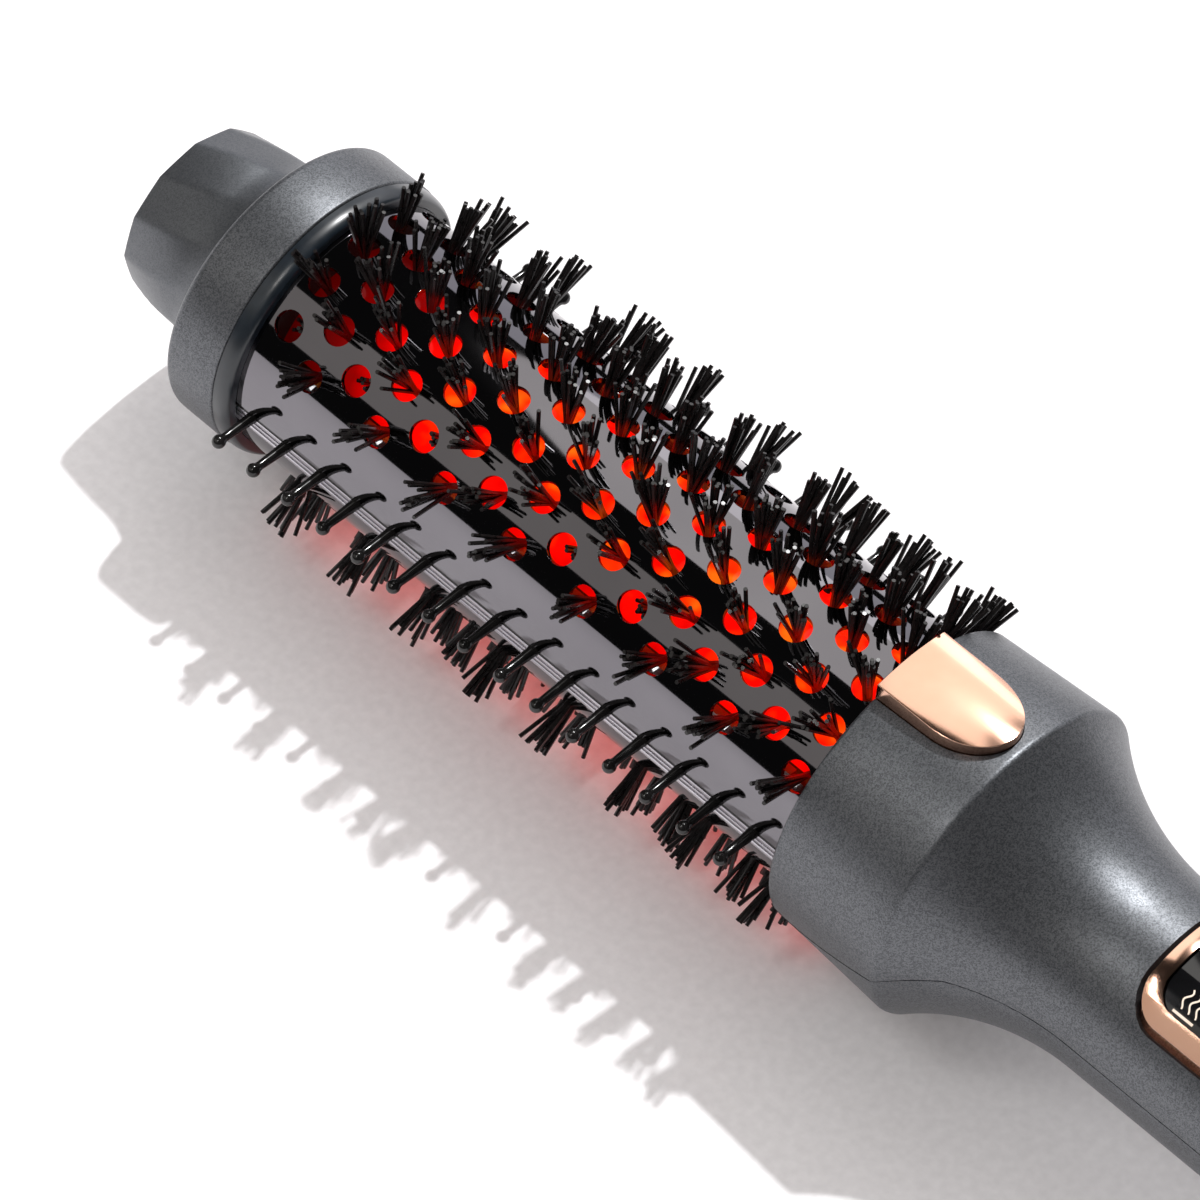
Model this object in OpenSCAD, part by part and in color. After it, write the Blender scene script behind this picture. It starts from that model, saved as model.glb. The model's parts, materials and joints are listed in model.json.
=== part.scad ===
// Heated round brush: a vented barrel with bristle tufts and ball pins, on a hollow two-part handle.
// Millimetres. The barrel lies along X with its tip towards +X, and +Z is the side of the panel.
// Every module works in bench axes: z is the station from the tip's end face towards the handle,
// x is up and y is the side with the visible pins. Angles turn from the top towards +y.

/* [Barrel] */
// Outer radius of the barrel
barrel_r = 19; // [18.6:0.1:19.4]
// Wall of the two vented shells
barrel_wall = 0.8; // [0.6:0.1:1]
// Length of barrel that shows between the rim and the collar
barrel_len = 98.2; // [86:0.1:112]
// Length of barrel that is tucked into the collar
barrel_tuck = 4.2; // [3.5:0.1:4.5]
// Length of barrel that is hidden under the rim
barrel_lead = 3.2; // [2.5:0.1:3.5]

/* [Vents] */
// Radius of a vent hole
vent_r = 2.15; // [1.6:0.05:2.2]
// Rows of vents on each shell
vent_rows = 11; // [7:2:11]
// Angle between neighbouring rows
row_angle = 11; // [10.5:0.1:11.2]
// Vents in each row
vents_per_row = 8; // [5:1:8]
// From the rim to the centre of the first vent
vent_margin_tip = 3.2; // [2.8:0.1:5]
// From the collar to the centre of the last vent
vent_margin_collar = 2.9; // [2.6:0.1:5]

/* [Bristles] */
// How far the longest bristles stand out of the barrel
tuft_reach = 7.5; // [5:0.1:9]
// Strands drawn for each tuft
strands = 3; // [2:1:3]
// Radius of a strand's corners
strand_r = 0.4; // [0.3:0.05:0.5]
// How far a strand's tip leans from the middle of its vent
tuft_spread = 2.2; // [1.2:0.1:2.6]
// How far a strand's root is from the middle of its vent
root_spread = 0.6; // [0.5:0.05:0.8]
// Depth of the tuft carriers below the barrel's inner wall
carrier_depth = 5.2; // [5:0.1:5.8]
// Wall of the tuft carriers
carrier_wall = 1.8; // [1.2:0.1:2]
// Depth of the flat that the bristles rest on
rest_flat = 0.5; // [0.3:0.1:1]

/* [Ball pins] */
// Pins in each strip
pin_count = 15; // [8:1:16]
// Height of a ball's centre above the barrel
pin_reach = 6; // [4:0.1:7]
// Radius of a pin under its ball
pin_r = 0.6; // [0.5:0.05:0.7]
// Radius of a pin's foot
pin_foot_r = 0.85; // [0.7:0.05:1]
// Radius of a ball
ball_r = 0.95; // [0.8:0.05:1.1]
// From the rim to the first pin
pin_margin_tip = 3.1; // [2:0.1:5]
// From the collar to the last pin
pin_margin_collar = 5.5; // [3:0.1:8]
// Width of the slot between the upper shell and the side rail
slot_w = 0.76; // [0.7:0.02:0.9]
// Width of a side rail
rail_w = 2.47; // [2.2:0.01:2.6]

/* [Cool tip] */
// Length of the tip cap
tip_len = 16.7; // [15.5:0.1:20]
// Corner radius of the cap's end face
tip_end_r = 12.65; // [12.2:0.05:13.4]
// Corner radius of the cap before it flares
tip_mid_r = 14; // [13.6:0.1:14.6]
// Radius where the cap meets the ring
tip_root_r = 15.9; // [15:0.1:17]
// Facets round the cap
tip_facets = 12; // [8:1:16]
// Turn of the facets over the cap's length
tip_twist = 24; // [0:1:40]
// How far the ring stands out past the barrel
ring_proud = 2; // [1.7:0.1:2.6]
// Length of the ring
ring_len = 7.5; // [7:0.1:9]
// Length of the dark rim
rim_len = 4; // [3.5:0.1:5]
// How far the rim stands out past the barrel where the barrel comes out
rim_end_proud = 1; // [0.6:0.1:1.3]

/* [Handle] */
// How far the front of the collar stands out past the barrel
collar_front_proud = 3.2; // [3:0.1:3.6]
// How far the ridge of the collar stands out past the barrel
collar_ridge_proud = 4.3; // [4:0.1:5]
// Length of the collar
collar_len = 18.8; // [18.4:0.1:22]
// Length of the concave neck
neck_len = 23.5; // [22:0.1:27]
// Radius of the grip
grip_r = 14.1; // [13.9:0.1:14.8]
// Length of grip left free behind the power board
grip_spare = 0; // [0:1:20]
// Wall of the handle shells
handle_wall = 2.2; // [2:0.1:2.3]
// Rounding of the tail
tail_round = 5; // [4:0.1:5.5]

/* [Ion outlet] */
// Half of the outlet cover's width
hood_half = 6; // [5:0.1:6.6]
// Length of the outlet cover
hood_len = 17.2; // [15:0.1:17.6]
// Length of its rounded end
hood_round = 8.4; // [6:0.1:9]
// How far the outlet cover stands out of the collar's front
hood_proud = 2.5; // [2.1:0.1:3]
// Wall of the outlet cover
hood_wall = 1.2; // [0.9:0.1:1.5]

/* [Panel] */
// From the end of the neck to the front of the panel recess
panel_gap = 4.2; // [4:0.1:8]
// Length of the panel recess
panel_len = 62; // [60:0.5:64]
// Half of the recess width
panel_half = 11.2; // [11:0.1:11.4]
// Corner radius of the recess
panel_round = 5; // [4:0.1:6]
// Shadow gap round the bezel
panel_shadow = 0.7; // [0.4:0.1:0.9]
// Width of the bezel
bezel_w = 2; // [1.6:0.1:2.3]
// How far the bezel stands out of the grip
bezel_proud = 0.3; // [0.1:0.1:0.6]
// How far the lens lies below the grip's surface
lens_sunk = 0.3; // [0.1:0.1:0.6]

/* [Buttons] */
// Radius of a button
button_r = 3.7; // [3:0.1:3.8]
// From the front of the recess to the first button
button_first = 32; // [31:0.5:34]
// Distance between buttons
button_pitch = 10; // [9.6:0.1:10.4]
// Travel of a button
button_travel = 0.4; // [0.2:0.05:0.45]
// How far a button stands out of the grip
button_proud = 0.2; // [0.1:0.1:0.5]
// Gap between a button and its hole
button_gap = 0.3; // [0.2:0.05:0.4]

/* [Swivel] */
// Radius of the cord inlet bore
inlet_r = 3.4; // [2.6:0.1:3.8]
// Depth of the cord inlet bore
inlet_depth = 14; // [10:0.5:14]
// Length of the swivel gland outside the handle
gland_len = 12; // [11:0.5:18]
// Radius of the gland's neck in its bush
gland_neck_r = 6.2; // [5.6:0.1:6.5]
// Radial clearance of the neck in its bush
swivel_fit = 0.06; // [0.03:0.01:0.1]

/* [Boards and heaters] */
// Thickness of the circuit boards
board_t = 1.6; // [1:0.1:1.6]
// Length of the control board
control_len = 56; // [54:0.5:58]
// Length of the power board
power_len = 38; // [37:0.5:48]
// Thickness of a heater
heater_t = 2.7; // [2:0.1:2.8]
// Width of a heater
heater_w = 10; // [7:0.5:10]
// Radius of an insulated heater lead
lead_r = 0.8; // [0.5:0.05:0.8]

/* [Hidden] */
$fn = 96;

// Clearances
seam = 0.05;          // between pieces that are held against each other
slip = 0.15;          // between pieces that are pushed together by hand
loose = 0.3;          // between pieces that only pass each other
eps = 0.02;           // overlap that joins two solids of one piece

// Stations from the tip's end face
s_ring = tip_len;
s_rim = s_ring + ring_len;
s_barrel = s_rim + rim_len;
s_shells = s_barrel - barrel_lead;
s_collar = s_barrel + barrel_len;
s_shells_end = s_collar + barrel_tuck;
s_ridge = s_collar + collar_len;
s_grip = s_ridge + neck_len;

// Radii that follow the barrel
shell_in_r = barrel_r - barrel_wall;
ring_r = barrel_r + ring_proud;
rim_end_r = barrel_r + rim_end_proud;
collar_front_r = barrel_r + collar_front_proud;
collar_r = barrel_r + collar_ridge_proud;
hood_top_r = collar_front_r + hood_proud;
carrier_r = shell_in_r - carrier_depth;

// Barrel and vents
vent_pitch = (barrel_len - vent_margin_tip - vent_margin_collar) / (vents_per_row - 0.5);
row_span = (vent_rows - 1) / 2 * row_angle;
clear_vents = [0, 1, 2, 4, 5];      // vents of the outer rows but one that hold no tuft
upper_edge = slot_w / 2;
rail_top = -slot_w / 2;
rail_low = rail_top - rail_w;
lower_edge = rail_low - seam;
spine_w = slot_w - 2 * seam;
rail_in = barrel_r - 3.5;           // inner face of the rails and the pin strips' heels
pin_heel_w = 1.2;                   // half width and height of the heel that holds a pin strip in

// Hubs that close the barrel
hub_spigot = 3.6;
s_hub = s_ring + 3.5;
s_inner = s_shells + hub_spigot;
seat_spigot = 4.4;
seat_flange = 4.4;
s_inner_end = s_shells_end - seat_spigot;
inner_len = s_inner_end - s_inner;
spigot_r = shell_in_r - seam;

// Bristles
tuft_r = barrel_r + tuft_reach;
root_r = carrier_r - carrier_wall / 2;
carrier_margin = 7;                 // degrees of carrier beyond the outer rows
split_row = 4;                      // rows in the outer carriers

// Handle
neck_rise = collar_r - grip_r;
neck_arc_r = (neck_len * neck_len + neck_rise * neck_rise) / (2 * neck_rise);
grip_in_r = grip_r - handle_wall;
lip_t = barrel_tuck - 0.2;
seam_drop_front = -11;
seam_drop_ridge = -2.4;

// Panel
s_panel = s_grip + panel_gap;
s_panel_end = s_panel + panel_len;
carrier_top = grip_in_r - seam;
carrier_low = 8.8;
board_top = 5;
board_low = board_top - board_t;
control_start = s_panel + 3;
s_display = s_panel + 5;
display_len = 20;
display_half = 6;
switch_top = 7.8;
stem_low = switch_top + 0.1 + button_travel;

// Screws and boards in the grip
boss_r = 3;
boss_gap = 1.2;
s_neck_screw = s_ridge + 14.8;
s_mid_screw = s_panel_end + 5;
s_power = s_mid_screw + boss_r + boss_gap;
s_tail_screw = s_power + power_len + boss_gap + boss_r;
post_r = 2;
power_top = 0;
lead_y = 4;
lead_x = power_top - board_t - lead_r;

// Swivel
plate_t = 3.8;
bush_len = 11.5;
bush_start = s_tail_screw + boss_r + boss_gap + 0.5 + grip_spare + plate_t;
pocket_floor = bush_start + 5;
tail_face = bush_start + bush_len;
s_tail = tail_face + handle_wall;
s_end = s_tail + gland_len;
gland_flange_r = grip_in_r - 3;

// Frame: X is centred on the length, and Z starts at the flat under the bristles
axis_z = tuft_r - rest_flat;
tip_x = s_end / 2;

function arc(c, r, a0, a1, n) =
    [for (i = [0 : n]) let (a = a0 + (a1 - a0) * i / n) c + r * [cos(a), sin(a)]];
function neck_radius(s) = grip_r + neck_arc_r - sqrt(pow(neck_arc_r, 2) - pow(max(0, s_grip - s), 2));
function row_phi(i) = row_span - i * row_angle;
function vent_s(i, j) = s_barrel + vent_margin_tip + vent_pitch * (j + (i % 2 == 1 ? 0 : 0.5));
function has_tuft(i, j) = !((i == 1 || i == vent_rows - 2) && len(search(j, clear_vents)) > 0);
function rounded(half, s0, s1, r) = concat(
    arc([half - r, s1 - r], r, 0, 90, 6), arc([r - half, s1 - r], r, 90, 180, 6),
    arc([r - half, s0 + r], r, 180, 270, 6), arc([half - r, s0 + r], r, 270, 360, 6));

// Side faces and ends of a stack of rings with n points each, all as triangles
function stack_faces(n, rings) = concat(
    [for (j = [0 : rings - 2], i = [0 : n - 1]) [j * n + i, (j + 1) * n + i, (j + 1) * n + (i + 1) % n]],
    [for (j = [0 : rings - 2], i = [0 : n - 1]) [j * n + i, (j + 1) * n + (i + 1) % n, j * n + (i + 1) % n]],
    [for (i = [1 : n - 2]) [0, i, i + 1]],
    [for (i = [1 : n - 2]) [(rings - 1) * n, (rings - 1) * n + i + 1, (rings - 1) * n + i]]);

// From bench axes to the part's frame
module place() {
    translate([tip_x, 0, axis_z]) rotate([0, -90, 0]) children();
}

// A solid of revolution from points of radius and station
module turned(points) {
    rotate_extrude() polygon(points);
}

// A plan drawn in y and station, raised from height x0
module raised(x0, h) {
    translate([x0, 0, 0]) rotate([90, 0, 90]) linear_extrude(h) children();
}

// A box by its low and high corners in bench axes
module block(low, high) {
    translate(low) cube(high - low);
}

// A round bar along x
module upright(x0, x1, y, s, r) {
    translate([x0, y, s]) rotate([0, 90, 0]) cylinder(r = r, h = x1 - x0);
}

// A round bar along the stations
module bar(s0, s1, r) {
    translate([0, 0, s0]) cylinder(r = r, h = s1 - s0);
}

// A plate that follows the grip's curve between two radii, cut to a plan
module curved_plate(r0, r1) {
    intersection() {
        raised(board_top + loose, grip_r) children();
        difference() {
            bar(s_panel - 5, s_panel_end + 5, r1);
            bar(s_panel - 6, s_panel_end + 6, r0);
        }
    }
}

// A round lead swept along a route
module swept(route, r) {
    sides = 8;
    last = len(route) - 1;
    points = [for (k = [0 : last])
        let (t = route[min(k + 1, last)] - route[max(k - 1, 0)], d = t / norm(t),
             c = cross([1, 0, 0], d), u = c / norm(c), v = cross(d, u))
        for (i = [0 : sides - 1]) route[k] + r * (u * cos(i * 360 / sides) + v * sin(i * 360 / sides))];
    polyhedron(points, stack_faces(sides, last + 1), convexity = 4);
}

// Cool tip

tip_rings = 10;
function tip_radius(s) = let (t = s / tip_len, rise = min(1, t / 0.6), flare = max(0, (t - 0.6) / 0.4))
    tip_end_r + (tip_mid_r - tip_end_r) * sin(90 * rise) + (tip_root_r - tip_mid_r) * flare * flare;
function tip_flat(a, s) = let (t = s / tip_len, step = 360 / tip_facets, b = a + tip_twist * t,
    off = b - step * floor(b / step) - step / 2, soft = 1 - pow(t, 3))
    1 - soft * (1 - cos(step / 2) / cos(off));

module tip_cap() {
    sides = tip_facets * 4;
    points = [for (j = [0 : tip_rings - 1]) let (s = tip_len * j / (tip_rings - 1))
        for (i = [0 : sides - 1]) let (a = 360 * i / sides, r = tip_radius(s) * tip_flat(a, s))
            [r * cos(a), r * sin(a), s]];
    color([0.27, 0.28, 0.30]) place() difference() {
        polyhedron(points, stack_faces(sides, tip_rings), convexity = 4);
        bar(3, tip_len + 1, ring_spigot_r + seam);
    }
}

ring_spigot_r = 9.8;
ring_spigot = 4.5;
ring_face = 3.4;
screw_r = 1.5;

module tip_ring() {
    color([0.33, 0.34, 0.36]) place() turned(concat(
        [[screw_r + slip, s_ring - ring_spigot], [ring_spigot_r, s_ring - ring_spigot], [ring_spigot_r, s_ring]],
        arc([ring_r - 1.2, s_ring + 1.2], 1.2, -90, 0, 5),
        arc([ring_r - 0.4, s_rim - 0.4], 0.4, 0, 90, 3),
        [[ring_r - 1.3, s_rim], [ring_r - 1.3, s_ring + ring_face], [screw_r + slip, s_ring + ring_face]]));
}

module tip_rim() {
    lip = 0.6;
    outer = ring_r - 0.15;
    color([0.09, 0.11, 0.14]) place() turned(concat(
        [[barrel_r + slip, s_hub + lip], [ring_r - 1.35, s_hub + lip], [ring_r - 1.35, s_rim], [outer, s_rim]],
        [for (a = [0 : 15 : 90])
            [rim_end_r + (outer - rim_end_r) * cos(a), s_rim + lip + (rim_len - lip) * sin(a)]],
        [[barrel_r + slip, s_barrel]]));
}

// The grooves at the sides of a spigot that the rails and pin strips lie in
module side_grooves(s0, s1) {
    for (side = [0, 1])
        mirror([0, side, 0])
            block([rail_low - slip, rail_in - slip, s0], [pin_heel_w + slip, barrel_r, s1]);
}

module tip_hub() {
    color([0.75, 0.72, 0.66]) place() difference() {
        union() {
            bar(s_hub, s_shells, barrel_r);
            difference() {
                bar(s_shells - eps, s_inner, spigot_r);
                side_grooves(s_shells, s_inner + 1);
            }
        }
        bar(s_hub - 1, s_inner - 1, screw_r - seam + slip);
    }
}

module tip_screw() {
    head = 2;
    color([0.6, 0.61, 0.62]) place() difference() {
        union() {
            bar(s_ring - ring_spigot - head, s_ring - ring_spigot, 3);
            bar(s_ring - ring_spigot - eps, s_inner - 2, screw_r);
        }
        bar(s_ring - ring_spigot - head - 1, s_ring - ring_spigot - head + 1.2, 1.4);
    }
}

// Barrel

module barrel_shell(edge) {
    difference() {
        intersection() {
            bar(s_shells, s_shells_end, barrel_r);
            block([edge, -30, s_shells - 1], [30, 30, s_shells_end + 1]);
        }
        bar(s_shells - 1, s_shells_end + 1, shell_in_r);
        for (i = [0 : vent_rows - 1], j = [0 : vents_per_row - 1])
            rotate([0, 0, row_phi(i)]) upright(shell_in_r - 3, barrel_r + 1, 0, vent_s(i, j), vent_r);
    }
}

module barrel_upper_shell() {
    color([0.05, 0.05, 0.06]) place() barrel_shell(upper_edge);
}

module barrel_lower_shell() {
    color([0.05, 0.05, 0.06]) place() rotate([0, 0, 180]) barrel_shell(-lower_edge);
}

// The rail fills the side below the pin slot, with two fine grooves in its face
module side_rail() {
    face = sqrt(pow(barrel_r, 2) - pow(rail_low, 2)) + 0.1;
    groove = 0.16;
    heel = pin_heel_w + 0.1;
    translate([0, 0, s_shells]) linear_extrude(s_shells_end - s_shells) difference() {
        polygon([[rail_low, rail_in], [-heel, rail_in], [-heel, rail_in + heel],
                 [rail_top, rail_in + heel], [rail_top, face], [rail_low, face]]);
        for (k = [1, 2])
            translate([rail_low + k * rail_w / 3, face]) square(groove * 2, center = true);
    }
}

module side_rail_left() {
    color([0.62, 0.61, 0.64]) place() side_rail();
}

module side_rail_right() {
    color([0.62, 0.61, 0.64]) place() mirror([0, 1, 0]) side_rail();
}

module pin_strip() {
    pitch = (barrel_len - pin_margin_tip - pin_margin_collar) / (pin_count - 1);
    translate([0, 0, s_shells + 1]) linear_extrude(s_shells_end - s_shells - 2) union() {
        translate([-spine_w / 2, rail_in]) square([spine_w, barrel_r - rail_in - 0.25]);
        translate([-pin_heel_w, rail_in]) square([2 * pin_heel_w, pin_heel_w]);
    }
    for (k = [0 : pin_count - 1])
        translate([0, 0, s_barrel + pin_margin_tip + k * pitch]) rotate([-90, 0, 0]) {
            translate([0, 0, rail_in + 1]) cylinder(r = spine_w / 2 - 0.02, h = barrel_r - rail_in - 0.8);
            translate([0, 0, barrel_r + seam]) cylinder(r1 = pin_foot_r, r2 = pin_r, h = pin_reach);
            translate([0, 0, barrel_r + pin_reach]) sphere(r = ball_r);
        }
}

module pin_strip_left() {
    color([0.04, 0.04, 0.05]) place() pin_strip();
}

module pin_strip_right() {
    color([0.04, 0.04, 0.05]) place() mirror([0, 1, 0]) pin_strip();
}

// Bristles: a slice of the carrier with the strands of its tufts, all rooted in it

function strand_end(phi, s, lean, r, off, top) =
    let (out = [cos(phi), sin(phi), 0], side = [-sin(phi), cos(phi), 0], along = [0, 0, 1],
         c = out * r + [0, 0, s] + off * (cos(lean) * side + sin(lean) * along))
    [for (k = [0 : 2]) let (p = c + strand_r * (cos(lean + k * 120) * side + sin(lean + k * 120) * along))
        [min(p.x, top), p.y, p.z]];

// Each tuft is turned on from its neighbours by these angles, so that no two look alike
row_turn = 47;
vent_turn = 71;
module tuft(phi, s, turn, top) {
    for (k = [0 : strands - 1]) {
        lean = turn + k * 360 / strands;
        reach = tuft_r - 0.5 * (1 - cos(lean * 3 + s * 7));
        polyhedron(concat(strand_end(phi, s, lean, root_r, root_spread, top),
                          strand_end(phi, s, lean, reach, tuft_spread, top)),
                   stack_faces(3, 2));
    }
}

module bristle_slice(first, last, top) {
    low = row_phi(last) - (last == vent_rows - 1 ? carrier_margin : row_angle / 2 - 0.15);
    high = row_phi(first) + (first == 0 ? carrier_margin : row_angle / 2 - 0.15);
    rotate([0, 0, low]) translate([0, 0, s_inner]) rotate_extrude(angle = high - low)
        translate([carrier_r - carrier_wall, 0]) square([carrier_wall, inner_len]);
    for (i = [first : last], j = [0 : vents_per_row - 1])
        if (has_tuft(i, j)) tuft(row_phi(i), vent_s(i, j), row_turn * i + vent_turn * j, top);
}

module bristle_set(turn, first, last, top) {
    color([0.07, 0.06, 0.06]) place() rotate([0, 0, turn]) bristle_slice(first, last, top);
}

free_top = 100;
module bristles_upper_left() {
    bristle_set(0, 0, split_row - 1, free_top);
}

module bristles_upper_middle() {
    bristle_set(0, split_row, vent_rows - split_row - 1, free_top);
}

module bristles_upper_right() {
    bristle_set(0, vent_rows - split_row, vent_rows - 1, free_top);
}

module bristles_lower_right() {
    bristle_set(180, 0, split_row - 1, axis_z);
}

module bristles_lower_middle() {
    bristle_set(180, split_row, vent_rows - split_row - 1, axis_z);
}

module bristles_lower_left() {
    bristle_set(180, vent_rows - split_row, vent_rows - 1, axis_z);
}

// Lamps, heaters and sensors inside the barrel

heat_bar_t = 4.3;
heat_bar_lip = 2.6;
bar_face = shell_in_r - heat_bar_t; // flat inner face of a heat bar
heater_in = bar_face - seam - heater_t;
sensor_t = 1.5;
lamp_half = heater_in - sensor_t - loose;
module lamp_board() {
    color([0.85, 0.85, 0.82]) place()
        block([-board_t / 2, -lamp_half, s_inner], [board_t / 2, lamp_half, s_inner_end]);
}

module lamps() {
    size = 2.8;
    color([1, 0.25, 0.1]) place()
        for (j = [0 : vents_per_row - 1], side = [-1, 1], y = [-5, 0, 5])
            translate([side * (board_t / 2 + 0.5), y, vent_s(0, j) - vent_pitch / 4])
                cube([1, size, size], center = true);
}

module heat_bar() {
    half = heater_w / 2 + heat_bar_lip;
    translate([0, 0, s_inner]) linear_extrude(inner_len) difference() {
        intersection() {
            circle(r = spigot_r);
            translate([-half, bar_face]) square([2 * half, 10]);
        }
        translate([rail_low - loose, rail_in - slip]) square([-rail_low + 2 * loose + pin_heel_w, 10]);
    }
}

module heat_bar_left() {
    color([0.75, 0.76, 0.77]) place() heat_bar();
}

module heat_bar_right() {
    color([0.75, 0.76, 0.77]) place() mirror([0, 1, 0]) heat_bar();
}

heater_inset = 6;
module heater() {
    block([-heater_w / 2, heater_in, s_inner + heater_inset],
          [heater_w / 2, heater_in + heater_t, s_inner_end - heater_inset]);
}

module heater_left() {
    color([0.72, 0.5, 0.2]) place() heater();
}

module heater_right() {
    color([0.72, 0.5, 0.2]) place() mirror([0, 1, 0]) heater();
}

// The sensors lie on the heaters' inner faces
sensor_x = 2.2;
s_sensor = s_inner + 44;
module thermistor() {
    color([0.1, 0.25, 0.2]) place()
        block([sensor_x - 1, -heater_in + seam, s_sensor],
              [sensor_x + 1, -heater_in + seam + sensor_t, s_sensor + 5]);
}

module thermal_fuse() {
    r = sensor_t / 2;
    color([0.8, 0.78, 0.7]) place()
        translate([sensor_x, heater_in - seam - r, s_sensor]) cylinder(r = r, h = 10);
}

seat_r = collar_front_r - handle_wall - 0.25;
shelf_x = 6;
module barrel_seat() {
    color([0.2, 0.2, 0.21]) place() difference() {
        union() {
            difference() {
                bar(s_inner_end, s_shells_end + eps, spigot_r);
                side_grooves(s_inner_end - 1, s_shells_end);
            }
            bar(s_shells_end, s_shells_end + seat_flange, seat_r);
            block([shelf_x - 1.5, -6.5, s_shells_end + seat_flange - eps],
                  [shelf_x, 6.5, s_shells_end + seat_flange + 15]);
        }
        for (side = [-1, 1])
            translate([lead_x, side * lead_y, s_inner_end - 1])
                cylinder(r = lead_r + loose, h = seat_spigot + seat_flange + 2);
    }
}

module heater_leads() {
    s0 = s_inner_end - heater_inset + seam;
    y0 = heater_in + heater_t / 2;
    color([0.75, 0.12, 0.1]) place() for (side = [-1, 1])
        swept([[0, side * y0, s0], [0, side * y0, s0 + 0.8], [lead_x, side * (lead_y + 4.4), s0 + 3.4],
               [lead_x, side * (lead_y + 1), s0 + 4.6], [lead_x, side * lead_y, s0 + 6],
               [lead_x, side * lead_y, s_power + 2]], lead_r);
}

// Ion outlet

function hood_plan(half, s0, len, round_len) = concat(
    [[-half, s0], [half, s0]],
    [for (a = [0 : 15 : 180]) [half * cos(a), s0 + len - round_len + round_len * sin(a)]]);

module ion_hood() {
    s0 = s_collar + slip;
    open_half = hood_half - hood_wall - 0.6;
    color([0.86, 0.58, 0.46]) place() difference() {
        intersection() {
            raised(15, 12) polygon(hood_plan(hood_half, s0, hood_len, hood_round));
            difference() {
                bar(s0 - 1, s0 + hood_len + 1, hood_top_r);
                bar(s0 - 2, s0 + hood_len + 2, collar_front_r - handle_wall + 0.3);
            }
        }
        difference() {
            raised(10, 20) polygon(hood_plan(hood_half - hood_wall, s0 + hood_wall,
                                             hood_len - 2 * hood_wall, hood_round - hood_wall));
            difference() {
                bar(s0 - 2, s0 + hood_len + 2, hood_top_r + 5);
                bar(s0 - 3, s0 + hood_len + 3, hood_top_r - hood_wall);
            }
        }
        block([collar_front_r - handle_wall - 1, -open_half, s0 - 1],
              [hood_top_r - hood_wall - 0.4, open_half, s0 + hood_wall + 1]);
    }
}

ion_start = s_shells_end + seat_flange + 3;
module ion_module() {
    color([0.12, 0.12, 0.13]) place()
        block([shelf_x, -6, ion_start], [shelf_x + 7, 6, ion_start + 11.5]);
}

module ion_needle() {
    post_s = ion_start + 2;
    x = collar_front_r - 0.6;
    color([0.8, 0.8, 0.8]) place() {
        upright(shelf_x + 7, x, 0, post_s, 0.5);
        translate([x - 0.5, 0, s_collar + 3.5]) cylinder(r1 = 0.12, r2 = 0.4, h = 4);
        translate([x - 0.5, 0, s_collar + 7.5 - eps]) cylinder(r = 0.4, h = post_s - s_collar - 7.5);
    }
}

module ion_lead() {
    x0 = shelf_x + 3.5;
    s0 = ion_start + 11.5;
    color([0.9, 0.9, 0.9]) place()
        swept([[x0, lead_y, s0], [x0, lead_y, s0 + 1.5], [x0 - 1.5, lead_y, s0 + 4],
               [2, lead_y, s0 + 17], [power_top + lead_r, lead_y, s0 + 22],
               [power_top + lead_r, lead_y, s_power + 2.5]], lead_r - 0.1);
}

// Handle

function handle_outline() = concat(
    [[0, s_collar], [collar_front_r - 0.5, s_collar], [collar_front_r, s_collar + 0.5]],
    arc([grip_r + neck_arc_r, s_grip], neck_arc_r, 180 + asin(neck_len / neck_arc_r), 180, 14),
    arc([grip_r - tail_round, s_tail - tail_round], tail_round, 0, 90, 8),
    [[0, s_tail]]);

function cavity_outline() = let (r = neck_arc_r + handle_wall) concat(
    [[0, s_collar + lip_t], [collar_front_r - handle_wall, s_collar + lip_t]],
    arc([grip_r + neck_arc_r, s_grip], r, 180 + asin(neck_len / r), 180, 14),
    arc([grip_r - tail_round, s_tail - tail_round], tail_round - handle_wall, 0, 90, 6),
    [[0, tail_face]]);

module handle_wall_solid() {
    difference() {
        turned(handle_outline());
        turned(cavity_outline());
        bar(s_collar - 1, s_collar + lip_t + 1, barrel_r + loose);
        bar(tail_face - 1, s_tail + 1, gland_neck_r + 0.4);
    }
}

// Everything below the parting line, which drops towards the front of the collar
module below_seam() {
    rotate([90, 0, 0]) linear_extrude(80, center = true) polygon([
        [-40, s_collar - 2], [seam_drop_front, s_collar - 2], [seam_drop_front, s_collar],
        [seam_drop_ridge, s_ridge + 1], [0, s_ridge + 7], [0, s_tail + 2], [-40, s_tail + 2]]);
}

screw_stations = [s_neck_screw, s_mid_screw, s_tail_screw];
head_depth = 2.7;
head_t = 2;
head_r = 2.4;
shank_r = 1.2;

module handle_upper_shell() {
    color([0.33, 0.34, 0.36]) place() difference() {
        union() {
            difference() {
                handle_wall_solid();
                below_seam();
            }
            for (s = screw_stations)
                upright(0, neck_radius(s) - 0.8, 0, s, boss_r);
        }
        for (s = screw_stations)
            upright(-1, 7, 0, s, shank_r + seam);
        raised(4, 20) polygon(rounded(panel_half, s_panel, s_panel_end, panel_round));
        raised(14, 14) polygon(
            hood_plan(hood_half + slip, s_collar - 2, hood_len + 2 + 2 * slip, hood_round + slip));
    }
}

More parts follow.
